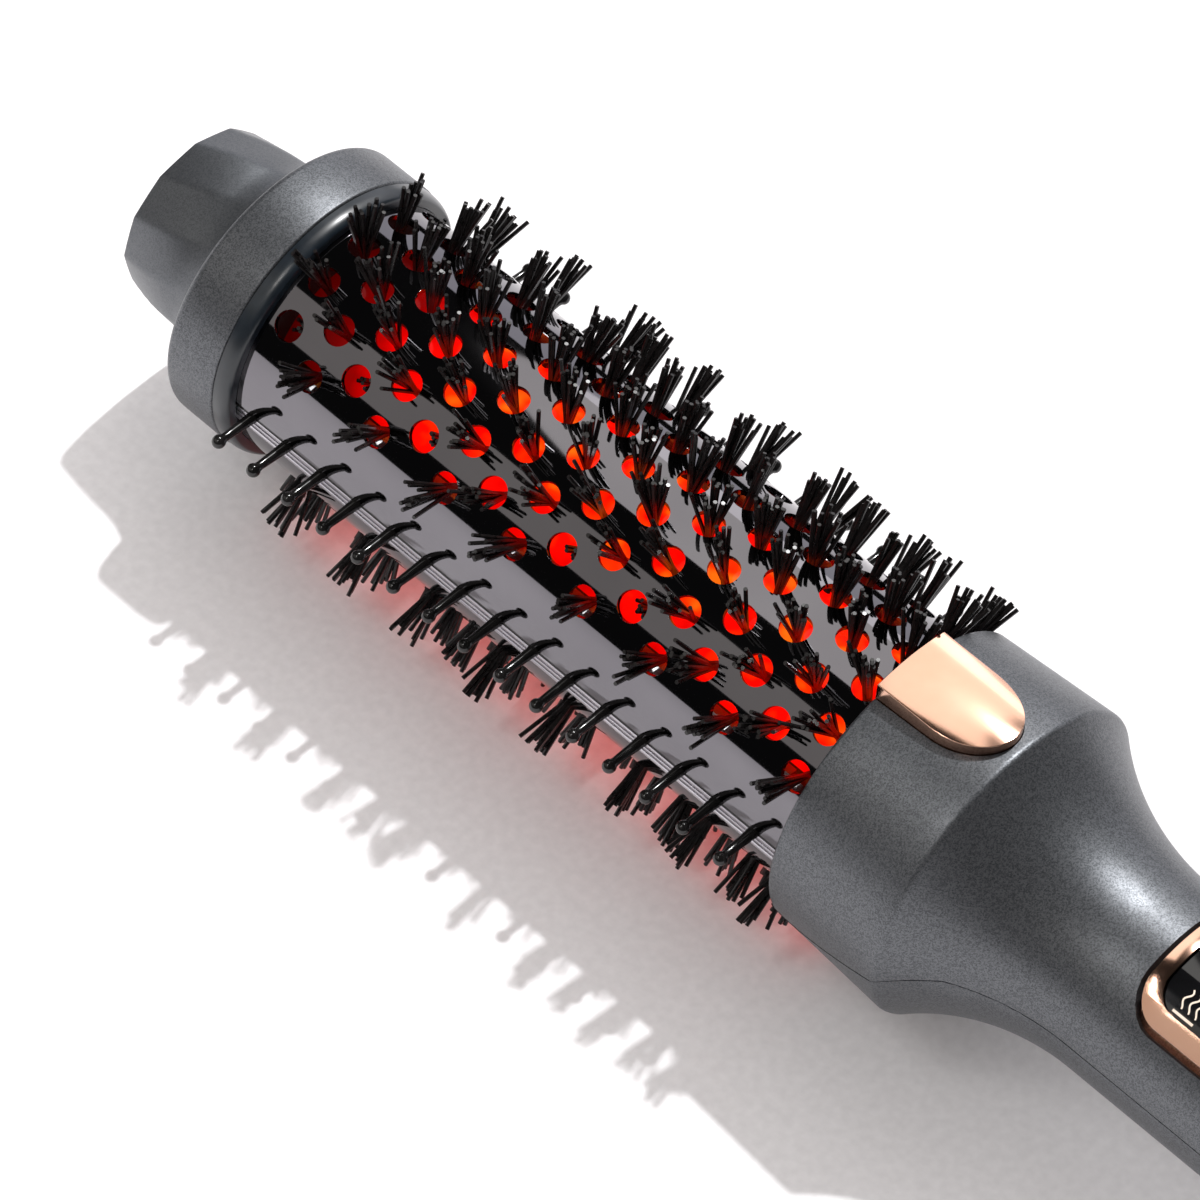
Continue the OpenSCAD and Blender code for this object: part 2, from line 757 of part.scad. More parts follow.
module handle_lower_shell() {
    control_posts = [control_start + 4, control_start + control_len - 4];
    power_posts = [s_power + 5, s_power + power_len - 5];
    color([0.33, 0.34, 0.36]) place() difference() {
        union() {
            intersection() {
                handle_wall_solid();
                below_seam();
            }
            for (s = screw_stations)
                upright(-neck_radius(s) + 0.8, 0, 0, s, boss_r);
            for (s = control_posts, side = [-1, 1])
                upright(-grip_in_r + 1.5, board_low, side * 7.2, s, post_r);
            for (s = power_posts, side = [-1, 1])
                upright(-grip_in_r + 1, power_top - board_t, side * 6.5, s, post_r);
        }
        for (s = screw_stations) {
            upright(-neck_radius(s) - 1, 1, 0, s, shank_r + slip);
            upright(-neck_radius(s) - 1, -neck_radius(s) + head_depth + head_t, 0, s, head_r + slip);
        }
    }
}

module handle_screws() {
    color([0.25, 0.25, 0.26]) place() for (s = screw_stations) {
        x0 = -neck_radius(s) + head_depth;
        difference() {
            union() {
                upright(x0, x0 + head_t, 0, s, head_r);
                upright(x0 + head_t - eps, 6, 0, s, shank_r);
            }
            upright(x0 - 1, x0 + 1.1, 0, s, 1.2);
        }
    }
}

// Panel

bezel_half = panel_half - panel_shadow;
lens_half = bezel_half - bezel_w - slip;
function button_s(k) = s_panel + button_first + k * button_pitch;

module panel_carrier() {
    color([0.06, 0.06, 0.07]) place() difference() {
        union() {
            curved_plate(grip_in_r - 1.5, carrier_top)
                polygon(rounded(panel_half - 0.3, s_panel - 1.5, s_panel_end + 1.5, panel_round));
            intersection() {
                block([carrier_low, -7, s_panel + 2], [carrier_top, 7, s_panel_end - 2]);
                bar(s_panel, s_panel_end, carrier_top);
            }
        }
        block([carrier_low - 1, -display_half - loose, s_display - loose],
              [20, display_half + loose, s_display + display_len + loose]);
        for (k = [0 : 2]) {
            upright(carrier_low - 1, 20, 0, button_s(k), button_r + button_gap);
            upright(carrier_low - 1, 10, 0, button_s(k), button_r + 1.05);
        }
    }
}

module panel_bezel() {
    color([0.9, 0.66, 0.55]) place() curved_plate(grip_in_r, grip_r + bezel_proud) difference() {
        polygon(rounded(bezel_half, s_panel + panel_shadow,
                        s_panel_end - panel_shadow, panel_round - panel_shadow));
        polygon(rounded(bezel_half - bezel_w, s_panel + panel_shadow + bezel_w,
                        s_panel_end - panel_shadow - bezel_w, panel_round - panel_shadow - bezel_w / 2));
    }
}

module panel_lens() {
    inset = panel_shadow + bezel_w + slip;
    color([0.02, 0.02, 0.02]) place() difference() {
        curved_plate(grip_in_r, grip_r - lens_sunk)
            polygon(rounded(lens_half, s_panel + inset, s_panel_end - inset, panel_round - inset / 2));
        for (k = [0 : 2])
            upright(0, 20, 0, button_s(k), button_r + button_gap);
    }
}

module display_module() {
    top = 10.15;
    color([0.5, 0.5, 0.48]) place()
        block([board_top, -display_half, s_display], [top, display_half, s_display + display_len]);
}

module control_board() {
    color([0.1, 0.35, 0.2]) place()
        block([board_low, -9.5, control_start], [board_top, 9.5, control_start + control_len]);
}

module button_switches() {
    color([0.15, 0.15, 0.16]) place() for (k = [0 : 2]) {
        block([board_top, -3, button_s(k) - 3], [switch_top - 0.4, 3, button_s(k) + 3]);
        upright(switch_top - 0.4 - eps, switch_top, 0, button_s(k), 1.7);
    }
}

// A button: domed top that follows the grip, a flange that keeps it in, and a stem
module button(k) {
    place() {
        intersection() {
            upright(9.2, 20, 0, button_s(k), button_r);
            bar(button_s(k) - 10, button_s(k) + 10, grip_r + button_proud);
        }
        upright(9.2, 9.8, 0, button_s(k), button_r + 0.7);
        upright(stem_low, 9.3, 0, button_s(k), 1.5);
    }
}

module power_button() {
    color([0.85, 0.62, 0.52]) button(2);
}

module plus_button() {
    color([0.1, 0.1, 0.1]) button(1);
}

module minus_button() {
    color([0.1, 0.1, 0.1]) button(0);
}

// Power board

module power_board() {
    color([0.1, 0.35, 0.2]) place()
        block([power_top - board_t, -8.5, s_power], [power_top, 8.5, s_power + power_len]);
}

module power_parts() {
    color([0.2, 0.25, 0.4]) place() {
        upright(power_top, power_top + 7.5, -3.5, s_power + 10, 3.2);
        block([power_top, -7.5, s_power + 17], [power_top + 5, 1, s_power + 24]);
        upright(power_top, power_top + 8, 3, s_power + 30, 3);
        block([power_top, -7, s_power + 28], [power_top + 3, -2.5, s_power + 36]);
    }
}

module ribbon_cable() {
    t = 0.6;
    width = 2;
    x = board_low - t;
    s0 = control_start + control_len - 9;
    color([0.7, 0.7, 0.68]) place()
        rotate([90, 0, 0]) translate([0, 0, boss_r + 0.2]) linear_extrude(width) polygon([
            [x, s0], [x + t, s0], [x + t, s_power - 3],
            [power_top + t, s_power + 1], [power_top + t, s_power + 3],
            [power_top, s_power + 3], [power_top, s_power + 1 - t / 2], [x, s_power - 3 - t / 2]]);
}

// Swivel at the tail

module swivel_plate() {
    color([0.8, 0.78, 0.72]) place() difference() {
        bar(bush_start - plate_t, bush_start, grip_in_r - 0.2);
        bar(bush_start - 5, bush_start + 1, 2.2);
    }
}

module swivel_contacts() {
    color([0.85, 0.68, 0.3]) place() for (side = [-1, 1])
        translate([side * 5, 0, bush_start]) cylinder(r = 0.8, h = 1.15);
}

module swivel_bush() {
    arc_start = s_tail - tail_round - 0.2;
    color([0.88, 0.87, 0.84]) place() turned([
        [gland_flange_r + loose, bush_start], [grip_in_r - 0.2, bush_start], [grip_in_r - 0.2, arc_start],
        [grip_r - tail_round - 0.2, arc_start], [grip_r - tail_round - 0.2, tail_face - seam],
        [gland_neck_r + swivel_fit, tail_face - seam], [gland_neck_r + swivel_fit, pocket_floor],
        [gland_flange_r + loose, pocket_floor]]);
}

module swivel_gland() {
    out = s_tail + loose;
    wire_r = 2.2;
    root_r = gland_neck_r + 1.4;
    mouth_r = inlet_r + 1.6;
    flange_s = bush_start + 1.3;
    color([0.12, 0.12, 0.13]) place() difference() {
        turned([[wire_r, flange_s], [gland_flange_r, flange_s], [gland_flange_r, pocket_floor - 0.2],
                [gland_neck_r, pocket_floor - 0.2], [gland_neck_r, out], [root_r, out], [root_r, out + 1.6],
                [root_r - 0.4, out + 2], [mouth_r + 0.2, s_end - 0.4], [mouth_r - 0.2, s_end],
                [inlet_r, s_end], [inlet_r, s_end - inlet_depth], [wire_r, s_end - inlet_depth]]);
        for (k = [0 : 2])
            difference() {
                bar(out + 3.2 + 2.2 * k, out + 4.2 + 2.2 * k, root_r + 2);
                bar(out + 3, out + 12, mouth_r + 1.2 - 0.45 * k);
            }
    }
}

tip_cap();
tip_ring();
tip_rim();
tip_hub();
tip_screw();
barrel_upper_shell();
barrel_lower_shell();
side_rail_left();
side_rail_right();
pin_strip_left();
pin_strip_right();
bristles_upper_left();
bristles_upper_middle();
bristles_upper_right();
bristles_lower_left();
bristles_lower_middle();
bristles_lower_right();
lamp_board();
lamps();
heat_bar_left();
heat_bar_right();
heater_left();
heater_right();
thermistor();
thermal_fuse();
barrel_seat();
heater_leads();
ion_module();
ion_needle();
ion_lead();
ion_hood();
handle_upper_shell();
handle_lower_shell();
handle_screws();
panel_carrier();
panel_bezel();
panel_lens();
display_module();
control_board();
button_switches();
power_button();
plus_button();
minus_button();
power_board();
power_parts();
ribbon_cable();
swivel_plate();
swivel_contacts();
swivel_bush();
swivel_gland();
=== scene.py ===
import json
import random
from functools import lru_cache
from math import acos, asin, atan2, cos, hypot, pi, radians, sin, sqrt

import bmesh
import bpy
from mathutils import Matrix, Vector


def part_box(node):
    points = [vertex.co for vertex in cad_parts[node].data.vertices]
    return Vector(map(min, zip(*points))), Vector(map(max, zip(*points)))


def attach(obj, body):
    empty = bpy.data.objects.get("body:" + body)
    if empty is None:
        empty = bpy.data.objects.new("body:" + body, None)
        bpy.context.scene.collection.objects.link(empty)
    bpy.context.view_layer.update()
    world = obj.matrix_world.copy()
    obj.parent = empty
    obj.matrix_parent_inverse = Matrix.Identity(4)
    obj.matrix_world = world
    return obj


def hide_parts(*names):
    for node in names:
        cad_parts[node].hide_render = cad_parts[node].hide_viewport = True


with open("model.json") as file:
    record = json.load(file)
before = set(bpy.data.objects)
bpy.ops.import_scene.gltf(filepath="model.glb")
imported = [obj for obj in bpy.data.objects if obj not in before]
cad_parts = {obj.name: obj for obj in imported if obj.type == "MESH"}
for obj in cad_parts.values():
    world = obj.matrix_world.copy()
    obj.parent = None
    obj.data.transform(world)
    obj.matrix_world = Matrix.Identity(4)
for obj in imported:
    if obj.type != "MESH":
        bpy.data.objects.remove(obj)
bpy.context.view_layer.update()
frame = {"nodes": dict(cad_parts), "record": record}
mm = 0.001

# Every piece is modelled on a bench in millimetres: x up, y towards the pin side that faces the
# camera, z from the tip's end face to the tail. benchToFrame then lays it where the CAD parts are.
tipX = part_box("tip_cap")[1].x
ringLow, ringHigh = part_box("tip_ring")
axisZ = round((ringLow.z + ringHigh.z) / 2, 4)
benchToFrame = (Matrix.Translation((tipX, 0, axisZ)) @ Matrix.Rotation(-pi / 2, 4, "Y")
                @ Matrix.Scale(mm, 4))


@lru_cache(maxsize=None)
def stationsOf(node):  # where a CAD node starts and ends along the brush
    low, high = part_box(node)
    return (tipX - high.x) / mm, (tipX - low.x) / mm


def halfWidthOf(node):
    low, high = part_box(node)
    return (high.y - low.y) / 2 / mm


def show(thing):
    bpy.context.scene.collection.objects.link(thing)


# Materials

def setInputs(node, **values):
    for name, value in values.items():
        node.inputs[name.replace("_", " ")].default_value = value


def addNode(material, kind, settings=(), **inputs):
    node = material.node_tree.nodes.new(kind)
    for name, value in dict(settings).items():
        setattr(node, name, value)
    setInputs(node, **inputs)
    return node


def join(material, source, target, socket):
    material.node_tree.links.new(source, target.inputs[socket])


def shaderOf(material):
    return material.node_tree.nodes["Principled BSDF"]


def pattern(material, kind, size, stretch=(1, 1, 1), detail=2.0):
    # a texture whose features are about size millimetres wide
    place = addNode(material, "ShaderNodeTexCoord")
    mapping = addNode(material, "ShaderNodeMapping")
    setInputs(mapping, Scale=[k / (size * mm) for k in stretch])
    join(material, place.outputs["Object"], mapping, "Vector")
    texture = addNode(material, kind, Scale=1.0)
    if "Detail" in texture.inputs:
        texture.inputs["Detail"].default_value = detail
    join(material, mapping.outputs["Vector"], texture, "Vector")
    return texture


def ramp(material, value, stops, target, socket):
    node = addNode(material, "ShaderNodeValToRGB")
    band = node.color_ramp
    while len(band.elements) < len(stops):
        band.elements.new(0.5)
    for element, (place, colour) in zip(band.elements, stops):
        element.position = place
        element.color = (*colour, 1)
    join(material, value, node, "Fac")
    join(material, node.outputs["Color"], target, socket)


def mapped(material, value, low, high, start=0.0, end=1.0, kind="LINEAR"):
    # runs from low to high while the value runs from start to end
    node = addNode(material, "ShaderNodeMapRange", settings={"interpolation_type": kind},
                   From_Min=start, From_Max=end, To_Min=low, To_Max=high)
    join(material, value, node, "Value")
    return node.outputs["Result"]


def combine(material, operation, first, second=None):
    node = addNode(material, "ShaderNodeMath", settings={"operation": operation})
    join(material, first, node, 0)
    if isinstance(second, float):
        node.inputs[1].default_value = second
    elif second:
        join(material, second, node, 1)
    return node.outputs[0]


def relief(material, value, height, strength=1.0):
    node = addNode(material, "ShaderNodeBump", Strength=strength, Distance=height * mm)
    join(material, value, node, "Height")
    join(material, node.outputs["Normal"], shaderOf(material), "Normal")


def newFinish(name, dark, light, roughness, metallic=0.0, size=1.0, height=0.0, **sockets):
    # a surface whose colour and gloss wander a little between two values
    material = bpy.data.materials.new(name)
    material.use_nodes = True
    shader = shaderOf(material)
    setInputs(shader, Metallic=metallic, **sockets)
    noise = pattern(material, "ShaderNodeTexNoise", size, detail=3)
    ramp(material, noise.outputs["Fac"], [(0.3, dark), (0.7, light)], shader, "Base Color")
    join(material, mapped(material, noise.outputs["Fac"], *roughness), shader, "Roughness")
    if height:
        relief(material, noise.outputs["Fac"], height)
    return material


def graphitePaint(name, dark, light, flakeSize, sparkle, roughness):
    material = newFinish(name, dark, light, roughness, metallic=0.78, size=flakeSize * 8)
    shader = shaderOf(material)
    flakes = pattern(material, "ShaderNodeTexVoronoi", flakeSize)
    tones = [(0.0, [c * (1 - sparkle / 2) for c in dark]), (0.4, dark), (0.9, light),
             (1.0, [c * (1 + sparkle) for c in light])]
    ramp(material, flakes.outputs["Color"], tones, shader, "Base Color")
    fine = pattern(material, "ShaderNodeTexNoise", flakeSize * 0.8, detail=1)
    relief(material, fine.outputs["Fac"], 0.012, strength=0.2 + sparkle)
    return material


def brushedMetal(name, dark, light, roughness, lineWidth):
    material = newFinish(name, dark, light, roughness, metallic=1.0, size=4)
    lines = pattern(material, "ShaderNodeTexNoise", lineWidth, stretch=(0.004, 1, 1), detail=1)
    ramp(material, lines.outputs["Fac"], [(0.35, dark), (0.65, light)], shaderOf(material),
         "Base Color")
    return material


# painted glow on the bristle carrier, which is no lamp: it stands in for the light of the red lamps
# inside the barrel
glow = {
    "fadeFrom": 4, "fadeTo": 30, "tipLevel": 0.08,      # along the barrel, mm from its tip end
    "sideLevel": 0.32, "topLevel": 0.86, "topHeight": 13,
    "cloudSize": 5, "cloudLow": 0.3, "cloudHigh": 1.6, "strength": 1.1,
    "tones": [(0.0, (0.01, 0.0, 0.0)), (0.3, (0.25, 0.0, 0.0)), (0.5, (0.75, 0.0, 0.0)),
              (0.72, (1.0, 0.002, 0.0)), (0.86, (1.0, 0.03, 0.0)), (1.0, (1.0, 0.15, 0.004))],
    # base colour of the carrier, painted brighter where the painted glow is stronger
    "paintedGlowBase": [(0.0, (0.02, 0.0, 0.0)), (1.0, (0.15, 0.0, 0.0))],
}


def makeCarrierPaintedGlow():
    # painted glow that stands in for the lamps' light from behind: orange over the lamps, red
    # further out, dark at the tip end; the base colour is painted brighter with it
    material = bpy.data.materials.new("carrierPaintedGlow")
    material.use_nodes = True
    shader = shaderOf(material)
    setInputs(shader, Roughness=0.5, Specular_IOR_Level=0.1, Emission_Strength=glow["strength"])
    place = addNode(material, "ShaderNodeTexCoord")
    parts = addNode(material, "ShaderNodeSeparateXYZ")
    join(material, place.outputs["Object"], parts, "Vector")
    tipEnd = tipX - stationsOf("barrel_upper_shell")[0] * mm
    along = mapped(material, parts.outputs["X"], glow["tipLevel"], 1.0,
                   tipEnd - glow["fadeFrom"] * mm, tipEnd - glow["fadeTo"] * mm, "SMOOTHSTEP")
    height = combine(material, "SUBTRACT", parts.outputs["Z"], axisZ)
    across = mapped(material, combine(material, "ABSOLUTE", height), glow["sideLevel"],
                    glow["topLevel"], 0.0, glow["topHeight"] * mm, "SMOOTHSTEP")
    cloud = pattern(material, "ShaderNodeTexNoise", glow["cloudSize"], detail=2)
    uneven = mapped(material, cloud.outputs["Fac"], glow["cloudLow"], glow["cloudHigh"])
    level = combine(material, "MULTIPLY", combine(material, "MULTIPLY", along, across), uneven)
    ramp(material, level, glow["tones"], shader, "Emission Color")
    ramp(material, level, glow["paintedGlowBase"], shader, "Base Color")
    return material


def circuitBoard():
    material = newFinish("circuitBoard", (0.012, 0.07, 0.03), (0.02, 0.11, 0.045), (0.3, 0.45),
                         size=3)
    tracks = pattern(material, "ShaderNodeTexBrick", 3)
    setInputs(tracks, Color1=(0.012, 0.075, 0.03, 1), Color2=(0.018, 0.1, 0.04, 1),
              Mortar=(0.05, 0.2, 0.09, 1))
    join(material, tracks.outputs["Color"], shaderOf(material), "Base Color")
    return material


finishes = {
    "graphite_paint": graphitePaint("graphitePaint", (0.072, 0.077, 0.085), (0.124, 0.13, 0.14),
                                    0.17, 0.3, (0.38, 0.46)),
    "tip_plastic": graphitePaint("tipPlastic", (0.092, 0.098, 0.108), (0.125, 0.132, 0.142),
                                 0.15, 0.12, (0.36, 0.44)),
    "dark_rim": newFinish("darkRim", (0.006, 0.010, 0.015), (0.010, 0.016, 0.023), (0.26, 0.36),
                          size=2, Coat_Weight=0.3, Coat_Roughness=0.2),
    "barrel_coating": newFinish("barrelCoating", (0.17, 0.163, 0.178), (0.19, 0.183, 0.198),
                                (0.035, 0.06), metallic=1.0, size=14),
    "rail_metal": brushedMetal("railMetal", (0.36, 0.345, 0.38), (0.6, 0.585, 0.62), (0.22, 0.34),
                               0.12),
    "pin_plastic": newFinish("pinPlastic", (0.006, 0.006, 0.006), (0.011, 0.01, 0.01), (0.12, 0.2),
                             size=3),
    "bristle_nylon": newFinish("bristleNylon", (0.005, 0.0045, 0.0045), (0.012, 0.010, 0.010),
                               (0.22, 0.36), size=0.8),
    "heat_plastic": newFinish("heatPlastic", (0.04, 0.04, 0.042), (0.06, 0.06, 0.062), (0.5, 0.62),
                              size=0.6, height=0.01),
    "aluminium": brushedMetal("extrudedAluminium", (0.45, 0.45, 0.47), (0.62, 0.62, 0.64),
                              (0.3, 0.42), 0.2),
    "heater_film": newFinish("heaterFilm", (0.3, 0.13, 0.02), (0.45, 0.2, 0.035), (0.25, 0.4),
                             size=2),
    "circuit_board": circuitBoard(),
    "lamp_red": newFinish("lampRed", (0.9, 0.04, 0.01), (1.0, 0.1, 0.02), (0.2, 0.3), size=1,
                          Emission_Color=(1.0, 0.08, 0.01, 1), Emission_Strength=4.0),
    "electronic_parts": newFinish("componentCase", (0.012, 0.012, 0.014), (0.03, 0.03, 0.034),
                                  (0.35, 0.5), size=1.2, height=0.01),
    "wire": newFinish("siliconeLead", (0.32, 0.012, 0.01), (0.42, 0.02, 0.016), (0.4, 0.5),
                      size=1.5),
    "steel": brushedMetal("zincSteel", (0.42, 0.42, 0.42), (0.6, 0.6, 0.59), (0.25, 0.35), 0.15),
    "contact_brass": brushedMetal("contactBrass", (0.6, 0.4, 0.13), (0.75, 0.53, 0.2), (0.2, 0.3),
                                  0.2),
    "rose_gold": newFinish("roseGold", (0.86, 0.50, 0.355), (0.93, 0.575, 0.43), (0.11, 0.16),
                           metallic=1.0, size=9),
    "panel_black": newFinish("panelGloss", (0.004, 0.004, 0.0045), (0.007, 0.007, 0.008),
                             (0.04, 0.07), size=8, Coat_Weight=0.6, Coat_Roughness=0.03),
    "button_black": newFinish("buttonSatin", (0.008, 0.008, 0.009), (0.014, 0.014, 0.016),
                              (0.28, 0.36), size=0.8, height=0.004),
    "gland_rubber": newFinish("glandRubber", (0.011, 0.011, 0.012), (0.02, 0.02, 0.022), (0.55, 0.7),
                              size=0.5, height=0.02),
}
# the carrier's material, with its painted red glow
carrierPaintedGlow = makeCarrierPaintedGlow()
# pale print, with a faint painted glow in its emission
palePrintPaintedGlow = newFinish("palePrintPaintedGlow", (0.75, 0.62, 0.5), (0.85, 0.74, 0.62), (0.35, 0.45), size=2,
                     Emission_Color=(1.0, 0.82, 0.68, 1), Emission_Strength=0.1)
print("materials made:", len(finishes) + 2)


# Mesh helpers, all in bench millimetres

def fixNormals(bm):
    bmesh.ops.recalc_face_normals(bm, faces=bm.faces[:])


def newVerts(made):
    return [v for v in made["geom"] if isinstance(v, bmesh.types.BMVert)]


def geomOf(faces):
    edges = {e for f in faces for e in f.edges}
    return list(faces) + list(edges) + list({v for f in faces for v in f.verts})


def faceOutwards(bm):
    # a skin round the axis shows its faces to the outside
    if sum(f.normal.xy.dot(f.calc_center_median().xy) for f in bm.faces) < 0:
        bmesh.ops.reverse_faces(bm, faces=bm.faces[:])


def sliceFlat(bm, step, reach, normal, dist):
    # cuts flat faces into strips that can follow a curve
    for k in range(-int(reach / step), int(reach / step) + 1):
        bmesh.ops.bisect_plane(bm, geom=bm.verts[:] + bm.edges[:] + bm.faces[:], dist=dist,
                               plane_co=Vector(normal) * k * step, plane_no=normal)


def mergeInto(bm, part):
    scratch = bpy.data.meshes.new("scratch")
    part.to_mesh(scratch)
    part.free()
    bm.from_mesh(scratch)
    bpy.data.meshes.remove(scratch)


def spinProfile(bm, points, steps, closed=False):
    # turns an outline of (station, radius) points about the brush's axis
    verts = [bm.verts.new((radius, 0, station)) for station, radius in points]
    edges = [bm.edges.new(pair) for pair in zip(verts, verts[1:])]
    if closed:
        edges.append(bm.edges.new((verts[-1], verts[0])))
    bmesh.ops.spin(bm, geom=verts + edges, cent=(0, 0, 0), axis=(0, 0, 1), dvec=(0, 0, 0),
                   angle=2 * pi, steps=steps, use_merge=True)
    bmesh.ops.remove_doubles(bm, verts=bm.verts[:], dist=0.0005)
    fixNormals(bm)


def arcPoints(centre, radius, start, end, count):
    # points on an arc, as (station, radius), with angles in degrees from the outward direction
    angles = [radians(start + (end - start) * k / count) for k in range(count + 1)]
    return [(centre[0] + radius * sin(a), centre[1] + radius * cos(a)) for a in angles]


def bevelSharp(bm, width, segments, test=None, degrees=35):
    edges = [e for e in bm.edges if len(e.link_faces) == 2
             and e.calc_face_angle(0) > radians(degrees) and (test is None or test(e))]
    bmesh.ops.bevel(bm, geom=edges, offset=width, offset_type="OFFSET", segments=segments,
                    profile=0.5, affect="EDGES", clamp_overlap=True, material=-1)


def bevelTop(bm, width, radius):
    # rounds the upper edge of a plate whose top follows a tube of that radius
    bevelSharp(bm, width, 4, degrees=60,
               test=lambda e: min(v.co.xy.length for v in e.verts) > radius - 0.1)


def pushFace(bm, face, vec):
    made = bmesh.ops.extrude_face_region(bm, geom=[face])
    bmesh.ops.translate(bm, vec=vec, verts=newVerts(made))
    fixNormals(bm)


def roundedPlan(half, start, end, radius, count=10):
    # a rounded rectangle as (side, station) points
    corners = [(half - radius, end - radius, 0), (-half + radius, end - radius, 90),
               (-half + radius, start + radius, 180), (half - radius, start + radius, 270)]
    return [(cy + radius * cos(radians(first + 90 * k / count)),
             cs + radius * sin(radians(first + 90 * k / count)))
            for cy, cs, first in corners for k in range(count + 1)]


def circlePlan(side, station, radius, count=40):
    return [(side + radius * cos(2 * pi * k / count),
             station + radius * sin(2 * pi * k / count)) for k in range(count)]


def curvedPlate(plans, topRadius, lowRadius, strip=0.7):
    # a plate cut to the plans, whose top and underside follow tubes round the brush's axis
    bm = bmesh.new()
    edges = []
    for plan in plans:
        verts = [bm.verts.new((0, side, station)) for side, station in plan]
        edges += [bm.edges.new((verts[k], verts[(k + 1) % len(verts)])) for k in range(len(verts))]
    bmesh.ops.triangle_fill(bm, edges=edges, use_beauty=True, normal=(1, 0, 0))
    bmesh.ops.dissolve_limit(bm, angle_limit=0.01, verts=bm.verts[:], edges=bm.edges[:])
    sliceFlat(bm, strip, max(abs(v.co.y) for v in bm.verts), (0, 1, 0), 0.0001)
    fixNormals(bm)
    if sum(f.normal.x for f in bm.faces) > 0:
        bmesh.ops.reverse_faces(bm, faces=bm.faces[:])
    under = bm.verts[:]
    over = newVerts(bmesh.ops.extrude_face_region(bm, geom=bm.faces[:]))
    for v in over:
        v.co.x = sqrt(topRadius ** 2 - v.co.y ** 2)
    for v in under:
        v.co.x = sqrt(max(1, lowRadius ** 2 - v.co.y ** 2))
    fixNormals(bm)
    return bm


def finishPiece(name, bm, slot, replaces=(), body="body", smooth=35, materials=None):
    # lays the bench mesh in the frame, and gives it its materials and body; the slot picks its
    # finish when no materials are given
    bmesh.ops.transform(bm, matrix=benchToFrame, verts=bm.verts[:])
    mesh = bpy.data.meshes.new(name)
    bm.to_mesh(mesh)
    bm.free()
    for material in materials or [finishes[slot]]:
        mesh.materials.append(material)
    mesh.shade_smooth()
    mesh.set_sharp_from_angle(angle=radians(smooth))
    piece = bpy.data.objects.new(name, mesh)
    show(piece)
    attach(piece, body)
    if replaces:
        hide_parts(*replaces)
    return piece


def cutWith(piece, cutter):
    # cuts the cutter's volume out of a piece, and drops the cutter
    tool = bpy.data.objects.new("cutter", bpy.data.meshes.new("cutter"))
    bmesh.ops.transform(cutter, matrix=benchToFrame, verts=cutter.verts[:])
    cutter.to_mesh(tool.data)
    cutter.free()
    show(tool)
    cut = piece.modifiers.new("cut", "BOOLEAN")
    cut.operation = "DIFFERENCE"
    cut.solver = "EXACT"
    cut.object = tool
    graph = bpy.context.evaluated_depsgraph_get()
    mesh = bpy.data.meshes.new_from_object(piece.evaluated_get(graph))
    piece.modifiers.clear()
    old = piece.data
    piece.data = mesh
    bpy.data.meshes.remove(old)
    bpy.data.objects.remove(tool)


def prism(plan, low, high):
    # an upright cutter of a (side, station) plan
    bm = bmesh.new()
    face = bm.faces.new([bm.verts.new((low, side, station)) for side, station in plan])
    pushFace(bm, face, (high - low, 0, 0))
    return bm


# The camera stands where the photograph was taken from

cameraSetup = {
    "station": 53.79,       # the point of the axis that it is set out from, mm from the tip
    "towards": (-0.3941, 0.4734, 0.7878),
    "roll": 6.05,           # degrees
    "distance": 877.0,      # mm
    "shiftRight": 15.42,
    "shiftDown": 20.6,
    "lens": 204.3,
}


def addCamera(setup):
    towards = Vector(setup["towards"]).normalized()
    roll = Matrix.Rotation(radians(setup["roll"]), 3, "Z")
    turn = towards.to_track_quat("Z", "Y").to_matrix() @ roll
    base = benchToFrame @ Vector((0, 0, setup["station"]))
    place = base + mm * (setup["distance"] * turn.col[2] + setup["shiftRight"] * turn.col[0]
                         - setup["shiftDown"] * turn.col[1])
    data = bpy.data.cameras.new("camera")
    data.lens = setup["lens"]
    data.sensor_width = 36
    data.clip_start = 0.01
    data.clip_end = 50
    camera = bpy.data.objects.new("camera", data)
    camera.matrix_world = Matrix.Translation(place) @ turn.to_4x4()
    show(camera)
    bpy.context.scene.camera = camera


addCamera(cameraSetup)


# Cool tip: a flared cap with twelve soft, slanting flats, a painted ring and a dark rim

tip = {
    "endRadius": 12.65, "midRadius": 14.0, "rootRadius": 15.9, "midShare": 0.6,
    "facets": 12, "twist": 24, "depth": 0.85, "ridgeShare": 0.96, "edge": 0.35, "dish": 0.3,
    "dishRadius": 6.5, "lipRadius": 7.9, "bore": 9.9, "floor": 3.2, "stations": 30, "steps": 144,
}
ring = {
    "reach": 1.4, "round": 1.2, "edge": 0.4, "wall": 1.3, "floor": 3.4, "steps": 192,
    "stemRadius": 9.8, "stemBore": 1.6, "stemReach": 4.5,
    "rimGap": 0.12, "rimInset": 0.15, "rimStep": 1.2, "rimLip": 0.6, "rimInner": 20.0,
    "rimBore": 19.05,
}


def tipRadius(share):
    rise = min(1, share / tip["midShare"])
    flare = max(0, (share - tip["midShare"]) / (1 - tip["midShare"]))
    swell = (tip["midRadius"] - tip["endRadius"]) * sin(pi / 2 * rise)
    return tip["endRadius"] + swell + (tip["rootRadius"] - tip["midRadius"]) * flare ** 2


